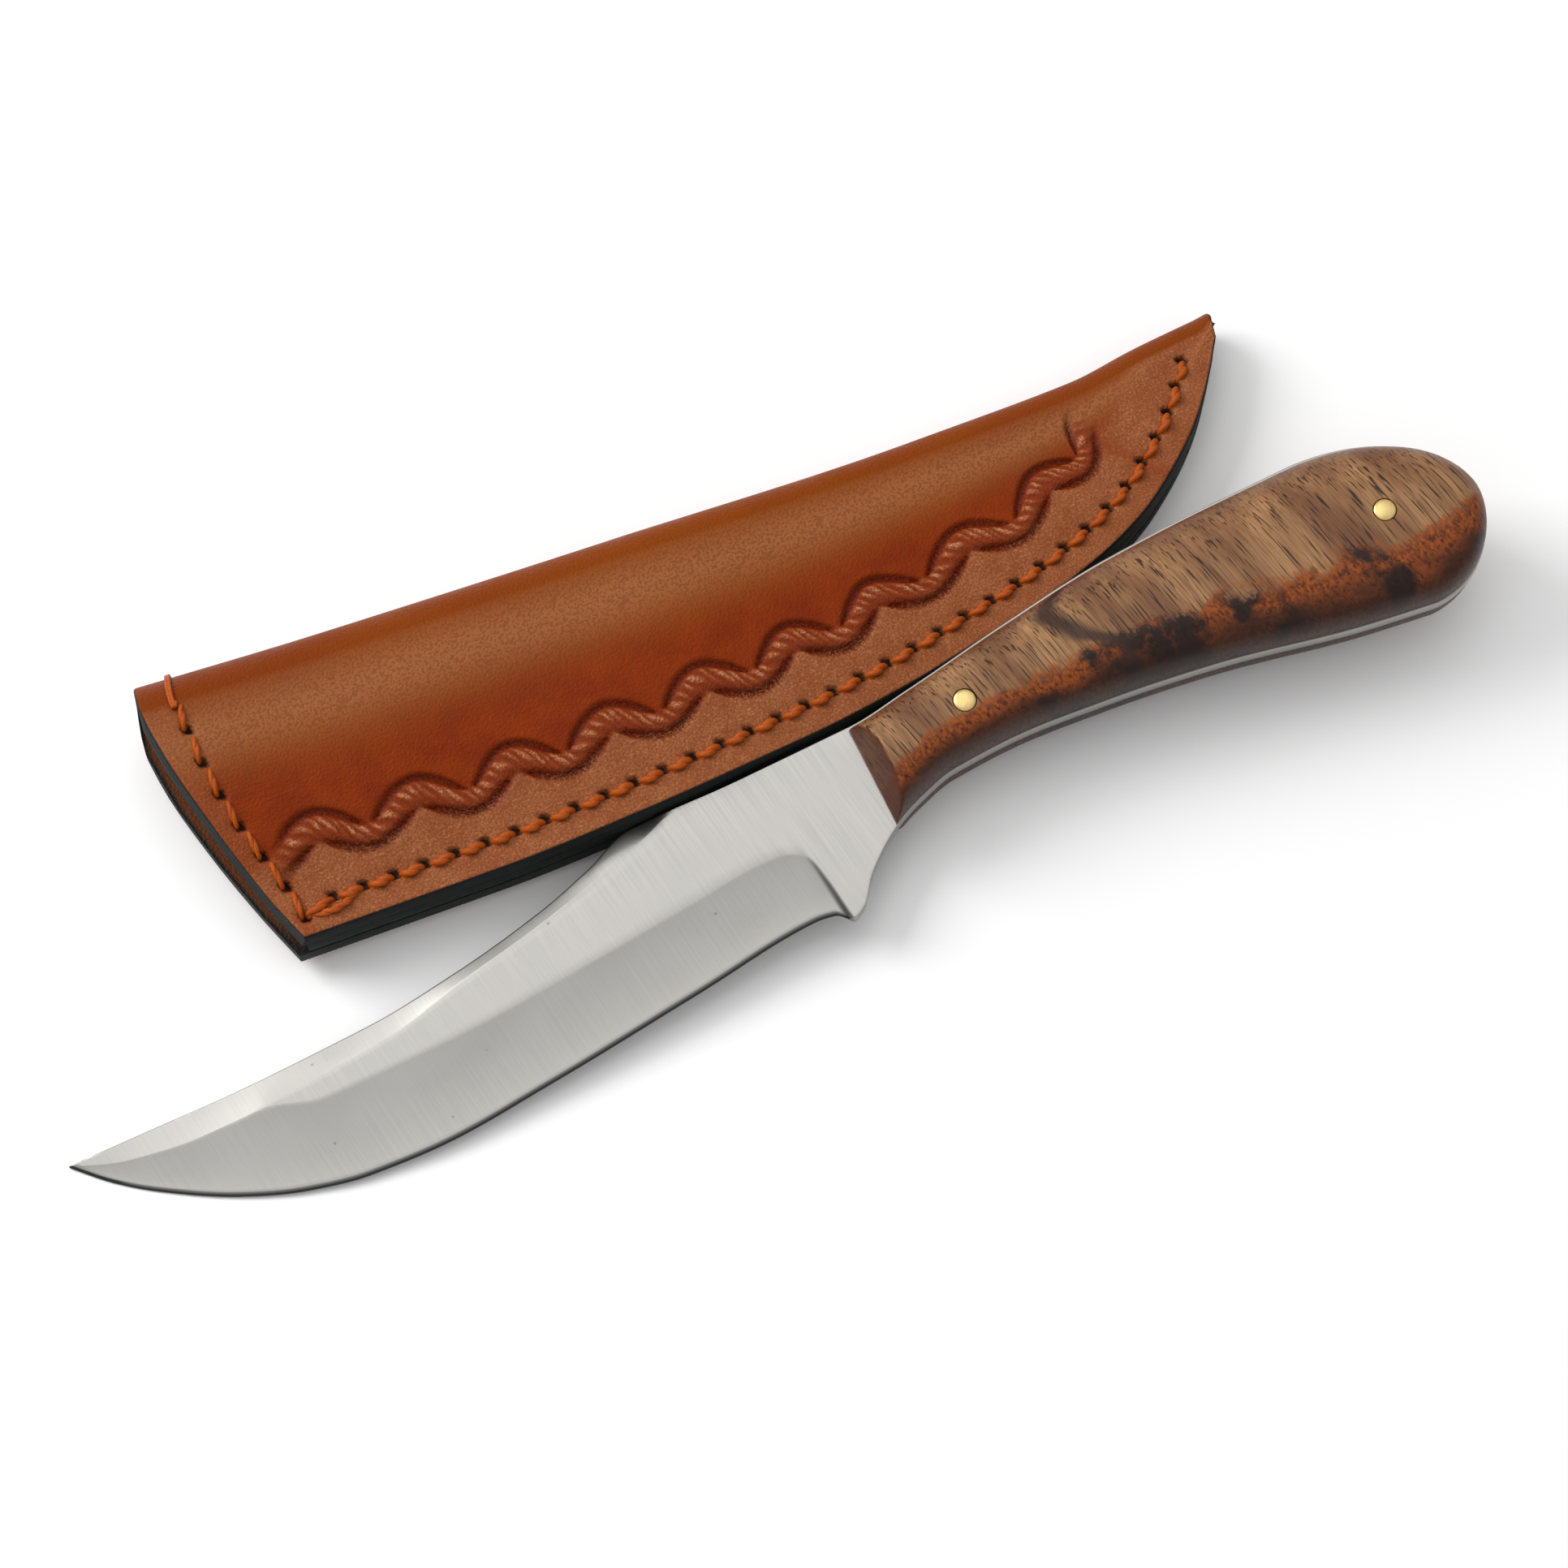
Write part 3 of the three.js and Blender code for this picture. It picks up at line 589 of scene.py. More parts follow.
def scale_section(lower_wall):
    """Half of a rounded rectangle, evenly divided: how far across, -1 to 1, and how far up, 0 to 1."""
    angle = np.linspace(0, math.pi, 2000)
    shoulder = ease(np.cos(angle), -0.3, 0.3)
    across = np.sign(np.cos(angle)) * np.abs(np.cos(angle)) ** mix(lower_wall, UPPER_ACROSS, shoulder)
    rise = np.sin(angle) ** mix(lower_wall, UPPER_RISE, shoulder)
    steps = np.hypot(np.diff(across) * SCALE_HALF_WIDTH, np.diff(rise) * SCALE_RISE)
    length = np.concatenate([[0], np.cumsum(steps)])
    even = np.linspace(0, length[-1], 64)
    return np.interp(even, length, across), np.interp(even, length, rise)


def make_scale(name, replaced, side):
    """One wood scale. side is 1 for the left one and -1 for the right one."""
    across, rise = scale_section(SHOWN_WALL if side > 0 else HIDDEN_WALL)
    stations = np.concatenate([
        HANDLE_FRONT_X + np.array([0.05, 0.3]),
        np.linspace(HANDLE_FRONT_X + 0.6, HANDLE_FRONT_X + 5, 24)[:-1],
        np.linspace(HANDLE_FRONT_X + 5, BUTT_UPPER[0], 84)[:-1],
        butt_stations(BUTT_UPPER[0], 40),
    ])[:, None]
    low = handle_lower(stations) + SCALE_INSET
    high = handle_upper(stations) - SPINE_INSET
    high = np.maximum(high, low + 0.2)
    base = PLATE_THICKNESS / 2 + GLUE_LINE
    full = HANDLE_THICKNESS / 2 - base
    back = clip01((BUTT_X - stations) / BUTT_ROUND)
    height = full * mix(0.22, 1, np.sqrt(1 - (1 - back) ** 2)) * rise
    slope = 0.35 + FRONT_SLOPE * (stations - HANDLE_FRONT_X) + 0 * height
    front = ease(height - slope, -0.5, 0.5)
    height = np.maximum(soft_min(height, slope, 0.9), 0)
    y = (low + high) / 2 + (high - low) / 2 * across
    x = np.broadcast_to(stations, y.shape)
    rings = np.stack([x, y, side * (base + height)], -1)
    where = np.broadcast_to(across, y.shape)
    if side < 0:
        rings, where, front = rings[:, ::-1], where[:, ::-1], front[:, ::-1]
    fields = {"side": where, "front": front}
    return add_piece(name, loft(rings), WOOD, "knife", [replaced], fields, 50)


def make_pin(name, replaced, centre):
    """A turned rod, with both ends peened into low domes."""
    half = HANDLE_THICKNESS / 2
    dome = np.linspace(0, 1, 10)
    radius = np.concatenate([PIN_RADIUS * dome, [PIN_RADIUS], PIN_RADIUS * dome[::-1]])
    height = half - 0.12 + (PIN_CROWN + 0.12) * np.sqrt(np.maximum(0, 1 - dome**2))
    z = np.concatenate([-height, [0], height[::-1]])
    turn = np.linspace(0, 2 * math.pi, 48, endpoint=False)
    radius = np.maximum(radius, 0.01)[:, None]
    x = centre[0] + radius * np.cos(turn)
    y = centre[1] + radius * np.sin(turn)
    shape = loft(np.stack([x, y, np.broadcast_to(z[:, None], x.shape)], -1))
    add_piece(name, shape, BRASS, "knife", [replaced], sharp=60)


def drill(pieces, centres):
    """Cuts the pin holes through the pieces."""
    for centre in centres:
        radius = (PIN_RADIUS + PIN_CLEARANCE) * MM
        bpy.ops.mesh.primitive_cylinder_add(vertices=64, radius=radius, depth=40 * MM)
        drill_bit = bpy.context.active_object
        drill_bit.matrix_world = KNIFE_PLACE @ Matrix.Translation(Vector((*centre, 0)) * MM)
        for piece in pieces:
            cut = piece.modifiers.new("hole", "BOOLEAN")
            cut.operation = "DIFFERENCE"
            cut.object = drill_bit
            bpy.context.view_layer.objects.active = piece
            bpy.ops.object.modifier_apply(modifier=cut.name)
        bpy.data.objects.remove(drill_bit)


blade = make_blade()
left_scale = make_scale("wood_scale_left", "left_scale", 1)
right_scale = make_scale("wood_scale_right", "right_scale", -1)
make_pin("brass_pin_front", "front_pin", FRONT_PIN)
make_pin("brass_pin_rear", "rear_pin", REAR_PIN)
drill([blade, left_scale, right_scale], [FRONT_PIN, REAR_PIN])

# ---------------- sheath outlines
stitched_edge_y = through(
    (-68.5, -0.4), (-40, -0.2), (-20, 0.9), (5.6, 3.5), (20.7, 6.2), (31.5, 8.8), (42.4, 11.5),
    (53, 15.2), (60.9, 19.2), (68.1, 24.7), (73.3, 29.9), (77.6, 35.7), (SHEATH_TIP_X, 41.4),
)
fold_y = through(
    (-80, 42.1), (-52, 41.4), (-5, 41.1), (44, 42.3), (59, 43), (70, 44.9), (SHEATH_TIP_X + TIP_LEAN, 46.5),
)
mouth_x = through((0, -68.8), (0.18, -71.9), (0.45, -75.8), (0.7, -78.6), (0.86, -79.5), (1, -78.9))


def back_z(x):
    """The height of the back panel's outside: on the belt loop, then down on the table."""
    return BACK_RAISE * (1 - ease(x, *RAISE_END))


def tip_x(v):
    """The tip's end, which leans out towards the fold."""
    return SHEATH_TIP_X + TIP_LEAN * v


def along(u, v, lip=0.0):
    """x on the sheath, u from the mouth to the tip, v from the stitched edge to the fold."""
    return mix(mouth_x(v) - lip, tip_x(v), u)


class Section:
    """The sheath's cross-section at u."""

    def __init__(self, u):
        self.u = u
        self.edge = stitched_edge_y(along(u, 0.0))
        self.fold = fold_y(along(u, 1.0))
        self.width = self.fold - self.edge
        self.fold_height = mix(MOUTH_FOLD_HEIGHT, TIP_FOLD_HEIGHT, clip01(u) ** 0.85)
        self.fold_depth = np.minimum(self.fold_height / 2, 0.46 * self.width)
        self.seam = self.edge + np.minimum(SEAM_WIDTH, 0.42 * self.width)
        self.bend = self.fold - self.fold_depth

    def front_height(self, y):
        """The front panel's outside above the back panel's outside."""
        s = (y - self.seam) / (self.bend - self.seam)
        s = np.minimum((s + np.sqrt(s * s + 0.004)) / 2, 1)
        flat = mix(self.fold_height, SEAM_HEIGHT, clip01(self.width / 12))
        flat = np.minimum(SEAM_HEIGHT, flat)
        return mix(flat, self.fold_height, 1 - (1 - s) ** 2)


def front_surface(x, y):
    """The height of the front panel's outside at a place seen from above."""
    u = clip01((x - mouth_x(0.5)) / (SHEATH_TIP_X - mouth_x(0.5)))
    for _ in range(4):
        v = clip01((y - Section(u).edge) / Section(u).width)
        u = clip01((x - mouth_x(v)) / (tip_x(v) - mouth_x(v)))
    return back_z(x) + Section(u).front_height(y)


# ---------------- the line of the stitched edge
def lengths_along(line):
    """How far along a line each of its points is."""
    return np.concatenate([[0], np.cumsum(np.linalg.norm(np.diff(line, axis=0), axis=1))])


EDGE_X = np.linspace(-82, SHEATH_TIP_X, 1300)
EDGE_LINE = np.stack([EDGE_X, stitched_edge_y(EDGE_X)], -1)
EDGE_LENGTH = lengths_along(EDGE_LINE)
EDGE_LENGTH -= np.interp(BORDER_ORIGIN_X, EDGE_X, EDGE_LENGTH)


def from_edge(x, y):
    """How far along the stitched edge the nearest point is, and how far away it is."""
    length, distance = np.empty(x.shape), np.empty(x.shape)
    for row in range(len(x)):
        gaps = np.hypot(x[row][:, None] - EDGE_LINE[:, 0], y[row][:, None] - EDGE_LINE[:, 1])
        nearest = gaps.argmin(axis=1)
        length[row] = EDGE_LENGTH[nearest]
        distance[row] = gaps.min(axis=1)
    return length, distance


def inset_line(inset):
    """The stitched edge moved inwards by inset: its points, and how far along it each one is."""
    slope = np.gradient(EDGE_LINE[:, 1], EDGE_LINE[:, 0])
    size = np.hypot(1, slope)
    line = EDGE_LINE + inset * np.stack([-slope / size, 1 / size], -1)
    return line, lengths_along(line)


def edge_holes(start_x, end_x):
    """The edge seam's holes, evenly spaced between two places along the sheath."""
    line, length = inset_line(STITCH_INSET)
    first, last = np.interp([start_x, end_x], line[:, 0], length)
    count = round((last - first) / STITCH_PITCH) + 1
    at = np.linspace(first, last, count)
    return np.stack([np.interp(at, length, line[:, 0]), np.interp(at, length, line[:, 1])], -1)


CORNER_HOLE = np.array([-67.7, 2.4])
EDGE_HOLES = edge_holes(FIRST_STITCH_X, LAST_STITCH_X)
mouth_stitch_x = through((2.4, -67.7), (7.6, -68.9), (16, -71.8), (26.6, -73.9), (36.5, -74.6), (40, -74.7))
MOUTH_HOLE_Y = np.array([7.3, 11.9, 16.6, 21.4, 26.4, 31.5, 36.4])
MOUTH_HOLES = np.stack([mouth_stitch_x(MOUTH_HOLE_Y), MOUTH_HOLE_Y], -1)


# ---------------- tooling
def wave_distance(length, middle):
    """How far from the middle of the nearest repeat, -1 to 1."""
    turns = (length - middle) / BORDER_PITCH
    return 2 * (turns - np.round(turns))


def border_stamp(length, distance):
    """The stamped border at places given from the stitched edge: its depth in mm, and 0 to 1 for its
    dark hollows with painted shade under the ribbon, its raised ribbon, its beads with painted
    glints, and its outer parts. A beaded ribbon waves between the crescents, whose hollows are
    fluted. Every number is in mm, a share or a phase."""
    stride = length - BORDER_STRETCH * ease(length, *BORDER_STRETCH_OVER)
    lift = BORDER_LIFT * ease(length, BORDER_END - 10, BORDER_END + 6)
    height = distance - BORDER_CENTRE - lift
    upper = wave_distance(stride, BORDER_START)
    lower = wave_distance(stride, BORDER_START + BORDER_PITCH / 2)
    swing = np.cos(math.pi * upper)
    ribbon = RIBBON_CENTRE + RIBBON_WAVE * swing
    half = RIBBON_HALF + RIBBON_SWELL * swing
    top = mix(-0.55, CRESCENT_REACH, 1 - upper**2) - height
    bottom = height - mix(-0.3, -CRESCENT_REACH, 1 - lower**2)
    flute = 0.5 + 0.5 * np.cos(2 * math.pi * length / 0.62 + 3 * np.sin(length))
    above = ease(top, -0.15, 0.6) * mix(1, 0.35, ease(top, 0.6, 1.9)) * mix(0.8, 1, flute)
    above = above * ease(height - ribbon - half, -0.3, 0.25)
    below = clip01((bottom + 0.3 * flute) / 1.1) ** 0.8
    below = below * ease(ribbon - half - height, -0.35, 0.1)
    raised = ease(half + 0.2 - np.abs(height - ribbon), 0, 0.6) * ease(top, -0.3, 0.2)
    slanted = length + 0.8 * (height - ribbon)
    uneven = 1.3 * np.sin(0.61 * length) + 0.8 * np.sin(1.7 * length)
    turn = 2 * math.pi * slanted / BEAD_PITCH + uneven
    from_crest = np.abs(height - ribbon - 0.4 * half - 0.12 * np.sin(2.3 * length))
    crest = 1 - ease(from_crest, 0.2, 1.15)
    lump = raised * (0.5 + 0.5 * np.cos(turn))
    # the beads' shape, which is also where the painted glints go, along the ribbon's crest
    bead_and_glint = raised * crest * ease(np.cos(turn) + 0.6 * np.sin(0.37 * turn + 1), -0.4, 0.9)
    share = ease(length, 0.5, 4) * (1 - ease(length, BORDER_END + 1.5, BORDER_END + 7))
    # painted shade: the ribbon's lower half and the dips between its lumps are darkened
    shade = 0.6 * raised * ease(ribbon - height, 0.1, half) + 0.3 * (raised - lump)
    dark = np.maximum(above, below)
    depth = STAMP_DEPTH * dark + 0.2 * raised - 0.24 * lump - 0.12 * bead_and_glint
    outside = 1 - ease(bottom, -0.25, 0.35)
    # the stamped hollows' own dark dye, with the painted shade added
    dyed_and_shade = np.maximum(clip01(dark * 1.3), shade)
    return depth * share, dyed_and_shade * share, raised * share, bead_and_glint * share, outside


def near_points(x, y, points, radius):
    """1 at any of the points, falling to 0 at the radius."""
    found = np.zeros(x.shape)
    for px, py in points:
        found = np.maximum(found, 1 - ease(np.hypot(x - px, y - py), radius * 0.35, radius))
    return found


def near_slits(x, y, points, direction, half_length, half_width):
    """1 inside short slits that run one way at the points, 0 outside."""
    dx, dy = direction
    found = np.zeros(x.shape)
    for px, py in points:
        lengthwise = ((x - px) * dx + (y - py) * dy) / half_length
        sideways = ((y - py) * dx - (x - px) * dy) / half_width
        found = np.maximum(found, 1 - ease(np.hypot(lengthwise, sideways), 0.55, 1.1))
    return found


# ---------------- sheath body
RIM = np.array([0, 0.05, 0.15, 0.32, 0.6])
BACK_COLUMNS, FOLD_COLUMNS, FRONT_COLUMNS = 12, 18, 97
COARSER = 3


def sheath_columns(section, inset):
    """The sheet's section, from the back panel's stitched edge round the fold to the front panel's."""
    rim = RIM[None] * np.minimum(1, section.width / 12)
    back_y = np.concatenate([
        section.edge + rim,
        mix(section.edge + rim[:, -1:], section.bend, np.linspace(0, 1, BACK_COLUMNS)[None, 1:]),
    ], axis=1)
    lip = BACK_LIP * (1 - section.u)
    parts = [(back_y, inset + 0 * back_y, lip + 0 * back_y)]
    s = np.linspace(0, 1, FOLD_COLUMNS)[None, 1:-1]
    angle = math.pi * (s - 0.5)
    depth = np.maximum(section.fold_depth - inset, 0.15)
    middle = section.fold_height / 2
    round_y = section.bend + depth * np.cos(angle)
    parts.append((round_y, middle + (middle - inset) * np.sin(angle), lip * (1 - s)))
    front_y = np.concatenate([
        mix(section.bend, section.edge + rim[:, -1:], np.linspace(0, 1, FRONT_COLUMNS)[None, :-1]),
        section.edge + rim[:, ::-1],
    ], axis=1)
    slant = MOUTH_SLANT * inset / LEATHER * (1 - ease(section.u, 0, 0.08))
    parts.append((front_y, section.front_height(front_y) - inset, slant + 0 * front_y))
    y, height, lip = (np.concatenate(columns, axis=1) for columns in zip(*parts))
    v = (y - section.edge) / section.width
    x = along(section.u, v, lip)
    return np.stack([x, y, back_z(x) + height], -1)


def outward(grid):
    """Unit normals of a grid of points."""
    normal = np.cross(np.gradient(grid, axis=1), np.gradient(grid, axis=0))
    return normal / np.maximum(np.linalg.norm(normal, axis=2, keepdims=True), 1e-9)


def sheet_mesh(outer, inner, coarser):
    """A closed sheet with thickness. Its inner grid has one column for every so many of the outer's."""
    rows, columns = outer.shape[:2]
    inner_columns = inner.shape[1]
    faces = grid_faces(rows, columns)
    start = rows * columns
    faces += [[start + i for i in face][::-1] for face in grid_faces(rows, inner_columns)]
    for i in range(rows - 1):
        a, b = i * columns, start + i * inner_columns
        faces.append([a, a + columns, b + inner_columns, b])
        a, b = a + columns - 1, b + inner_columns - 1
        faces.append([a + columns, a, b, b + inner_columns])
    for row, turned in ((0, False), (rows - 1, True)):
        for k in range(inner_columns - 1):
            above = [row * columns + k * coarser + step for step in range(coarser + 1)]
            below = [start + row * inner_columns + k + 1, start + row * inner_columns + k]
            face = above + below
            faces.append(face if turned else face[::-1])
    return np.concatenate([outer.reshape(-1, 3), inner.reshape(-1, 3)]), faces


def margin_share(arc, distance, outside, from_mouth):
    """How far a place on the front belongs to the paler margin beyond the tooling, 0 to 1.
    Its paleness is partly the leather's own lighter colour and partly painted highlight.
    """
    tooled = ease(arc, 0, 4) * (1 - ease(arc, BORDER_END, BORDER_END + 6))
    stamped = outside * ease(arc, 1, 4) * (1 - ease(arc, BORDER_END, BORDER_END + 4))
    beside = (1 - ease(distance, 9, 11)) * tooled
    untooled = np.maximum(ease(arc, BORDER_END, BORDER_END + 6), 1 - ease(arc, 0, 4))
    untooled = untooled * (1 - ease(distance, 9.5, 13))
    mouth = 0.5 * (1 - ease(from_mouth, 3, 4.5))
    return np.maximum.reduce([stamped, beside, untooled, mouth])


def sewn_marks(x, y):
    """1 where the front's surface is: in a stitch hole, and in the hollow that the stitches pull."""
    holes = np.concatenate([EDGE_HOLES, MOUTH_HOLES, [CORNER_HOLE]])
    slit = near_slits(x, y, holes, (0.72, -0.69), 1.1, 0.6)
    slit = np.maximum(slit, near_slits(x, y, holes, (-0.69, -0.72), 0.95, 0.45))
    between = (EDGE_HOLES[1:] + EDGE_HOLES[:-1]) / 2
    return slit, near_points(x, y, np.concatenate([holes, between]), 2.2)


def make_sheath_body():
    """The folded sheet: its outside carries the tooling, the seams' hollows and the eased edges."""
    length = SHEATH_TIP_X - mouth_x(0.5)
    rim = RIM / length
    u = np.concatenate([rim, np.linspace(rim[-1], 1 - rim[-1], 470)[1:-1], 1 - rim[::-1]])
    section = Section(u[:, None])
    outer = sheath_columns(section, 0.0)
    inner = sheath_columns(section, LEATHER)[:, ::COARSER]
    x, y = outer[..., 0], outer[..., 1]
    columns = np.arange(outer.shape[1])[None]
    back_columns = len(RIM) + BACK_COLUMNS - 1
    front = (columns >= back_columns + FOLD_COLUMNS - 2) + 0 * x
    back = (columns < back_columns) + 0 * x

    arc, distance = from_edge(x, y)
    depth, dyed_and_shade, ribbon, bead_and_glint, outside = border_stamp(arc, distance)
    across = np.where(front > 0, (y - section.seam) / (section.bend - section.seam), 1.0)
    fade = front * (1 - ease(across, 0.85, 1))
    slit, track = sewn_marks(x, y)
    under = (1 - ease(np.abs(distance - STITCH_INSET), 0.55, 1.0)) * back * (x > -64.5) * (x < 76)
    depth = depth * fade + (0.14 * track + 0.75 * slit) * front + 1.25 * under

    from_ends = np.minimum(u, 1 - u)[:, None] * length
    border = np.where(front + back > 0, np.minimum(distance, from_ends), from_ends)
    depth = depth + round_over(border, 0.45)
    swell = 0.12 * np.sin(x / 9 + y / 6) + 0.09 * np.sin(x / 5.3 - y / 7.1 + 1)
    depth = depth - swell * ease(distance, 3, 9) * fade
    outer = outer - outward(outer) * depth[..., None]

    from_mouth = x - along(0 * x, clip01((y - section.edge) / section.width))
    fields = {
        # dark dye in the stamped hollows, with painted shade under the ribbon
        "tooled_dark_and_shade": dyed_and_shade * fade,
        "ribbon": ribbon * fade,
        # painted glints on the ribbon's beads
        "bead_and_glint": bead_and_glint * fade,
        # painted shade in the stitch holes
        "hole": slit * front,
        "margin": margin_share(arc, distance, outside, from_mouth) * front,
        # painted sheen band along the front panel, near the fold
        "painted_sheen": np.exp(-(((across - 0.83) / 0.17) ** 2)) * front,
        # the fold's tone: partly the leather's own and partly painted light
        "fold": np.where(front > 0, ease(across, 0.4, 0.75), 1),
        "flesh": 0 * x,
        "dye": 1 - ease(border, 0.12, 0.34),
    }
    inside_mouth = 1 - ease(inner[..., 0] - inner[:1, :, 0], 0.3, 0.8)
    inside_seam = 1 - ease(inner[..., 1] - section.edge, 2, 5)
    nothing = 0 * inside_mouth
    inner_fields = {"flesh": nothing + 1, "dye": np.maximum(inside_mouth, inside_seam)}
    fields = {
        name: np.concatenate([values.ravel(), inner_fields.get(name, nothing).ravel()])
        for name, values in fields.items()
    }
    shape = sheet_mesh(outer, inner, COARSER)
    body = add_piece(
        "leather_body", shape, LEATHER_SURFACE, "sheath", ["sheath_body"], fields, 50
    )
    body.data.materials.append(DYED_EDGE)
    first_rim = (len(u) - 1) * (outer.shape[1] - 1 + inner.shape[1] - 1)
    for polygon in body.data.polygons[first_rim:]:
        polygon.material_index = 1


def make_welt():
    """The strip that spaces the two panels along the stitched edge."""
    u = np.linspace(0.001, 0.992, 160)[:, None]
    x = along(u, 0.0)
    line, _ = inset_line(SEAM_WIDTH - 0.8)
    y = stitched_edge_y(x)
    inner_x = np.interp(x, EDGE_LINE[:, 0], line[:, 0])
    inner_y = np.interp(x, EDGE_LINE[:, 0], line[:, 1])
    low = LEATHER + 0.02
    high = 2 * LEATHER + 2 * LAYER_GAP - 0.02
    middle = (low + high) / 2
    bulge = 0.06 * np.sin(x * 1.7) + 0.05 * np.sin(x * 0.61)
    corners = [
        (x, y + 0.12, low),
        (x, y + bulge, mix(low, high, 0.2)),
        (x, y - 0.04 + bulge, middle),
        (x, y + bulge, mix(low, high, 0.8)),
        (x, y + 0.12, high),
        (inner_x, inner_y, high),
        (inner_x, inner_y, low),
    ]
    strips = [np.stack([cx, cy, back_z(cx) + cz], -1) for cx, cy, cz in corners]
    shape = loft(np.concatenate(strips, axis=1)[:, ::-1])
    add_piece("leather_welt", shape, DYED_EDGE, "sheath", ["welt"], sharp=50)


# ---------------- belt loop
def loop_stitch_lines():
    """Two rows of holes, three sides of a rectangle at each end of the loop."""
    half = LOOP_WIDTH / 2 - LOOP_STITCH_INSET
    first = LOOP_X + LOOP_STITCH_INSET
    last = LOOP_X + LOOP_LENGTH - LOOP_STITCH_INSET
    lines = []
    for outside, turn in ((first, 1), (last, -1)):
        legs = np.linspace(outside + turn * LOOP_STITCH_LENGTH, outside, 4)
        low = [(x, LOOP_Y - half) for x in legs[:-1]]
        end = [(outside, LOOP_Y + y) for y in np.linspace(-half, half, 6)]
        high = [(x, LOOP_Y + half) for x in legs[-2::-1]]
        lines.append(np.array(low + end + high))
    return lines


def make_belt_loop():
    """The strap on the back, with rounded corners and a groove under each row of stitches."""
    rim = np.array([0, 0.06, 0.2, 0.4])
    x = np.concatenate([rim, np.linspace(0.8, LOOP_LENGTH - 0.8, 190), LOOP_LENGTH - rim[::-1]])[:, None]
    inside = np.clip(LOOP_CORNER - np.minimum(x, LOOP_LENGTH - x), 0, LOOP_CORNER)
    half = LOOP_WIDTH / 2 - LOOP_CORNER + np.sqrt(LOOP_CORNER**2 - inside**2)
    share = np.concatenate([rim / 12 - 1, np.linspace(-0.93, 0.93, 81), 1 - rim[::-1] / 12])[None]
    px = LOOP_X + x + 0 * share
    py = LOOP_Y + half * share
    qx = np.abs(px - LOOP_X - LOOP_LENGTH / 2) - LOOP_LENGTH / 2 + LOOP_CORNER
    qy = np.abs(py - LOOP_Y) - LOOP_WIDTH / 2 + LOOP_CORNER
    round_corner = np.hypot(np.maximum(qx, 0), np.maximum(qy, 0))
    border = LOOP_CORNER - round_corner - np.minimum(np.maximum(qx, qy), 0)
    eased = round_over(np.maximum(border, 0), 0.5)
    lines = loop_stitch_lines()
    tracks = [mix(line[:-1], line[1:], step) for line in lines for step in np.linspace(0, 1, 7)]
    groove = near_points(px, py, np.concatenate(tracks), 1.0)
    holes = near_points(px, py, np.concatenate(lines), 0.8)
    bottom = np.stack([px, py, eased + 1.25 * groove], -1)
    top = np.stack([px, py, LOOP_THICKNESS - eased], -1)
    dye = 1 - ease(border, 0.15, 0.4)
    margin = ease(border, 3, 1) * 0.6
    nothing = 0 * dye
    fields = {
        "dye": [dye, dye],
        "margin": [margin, margin],
        "flesh": [nothing, nothing + 1],
        # darker along the strap's stitch grooves
        "tooled_dark_and_shade": [0.5 * groove, nothing],
        # painted shade in the strap's stitch holes
        "hole": [holes, nothing],
    }
    fields = {name: np.concatenate([part.ravel() for part in parts]) for name, parts in fields.items()}
    shape = sheet_mesh(bottom, top, 1)
    add_piece("leather_strap", shape, LEATHER_SURFACE, "sheath", ["belt_loop"], fields, 50)


# ---------------- stitches
def stitch(start, end, up, rise, dip, sway=0.1, slant=0.12, radius=THREAD_RADIUS, turns=0.9,
           ends=(0.08, 0.92), aside=0):
    """One stitch of two-ply thread between two holes: it comes up, lies in a shallow S and goes down.

    rise and dip are its heights over and under the surface; sway, slant and aside move its middle,
    its ends and the whole of it sideways; ends are where it starts and stops between the holes.
    """
    t = np.linspace(0, 1, 22)[:, None]
    run = end - start
    across = np.cross(up, run)
    across /= np.linalg.norm(across)
    arch = np.sin(math.pi * t)
    path = start + run * mix(*ends, t) + up * mix(-dip, rise, arch**0.5)
    path = path + across * (aside + sway * arch + slant * np.cos(math.pi * t))
    along_path = np.gradient(path, axis=0)
    along_path /= np.linalg.norm(along_path, axis=1, keepdims=True)
    other = np.cross(along_path, across)
    thickness = radius * mix(0.6, 0.78, arch**0.5)
    plies = []
    for phase in (0, math.pi):
        turn = 2 * math.pi * turns * t + phase
        offset = radius * 0.34 * (np.cos(turn) * across + np.sin(turn) * other)
        plies.append(strand(path + offset, across, thickness))
    return plies


def on_front(places):
    """Places seen from above, put on the front panel's outside."""
    return np.column_stack([places, front_surface(places[:, 0], places[:, 1])])


def on_back(places):
    """Places seen from above, put on the back panel's outside."""
    return np.column_stack([places, back_z(places[:, 0])])


UP = np.array([0.0, 0.0, 1.0])


def make_thread(name, replaced, stitches):
    """One row of stitches, each of which is a list of plies, as one piece."""
    shape = joined([ply for plies in stitches for ply in plies])
    add_piece(name, shape, THREAD, "sheath", [replaced], sharp=180)


def stitch_row(holes, *heights, **lie):
    """Stitches of one kind between holes that follow each other."""
    return [stitch(a, b, *heights, **lie) for a, b in zip(holes[:-1], holes[1:])]


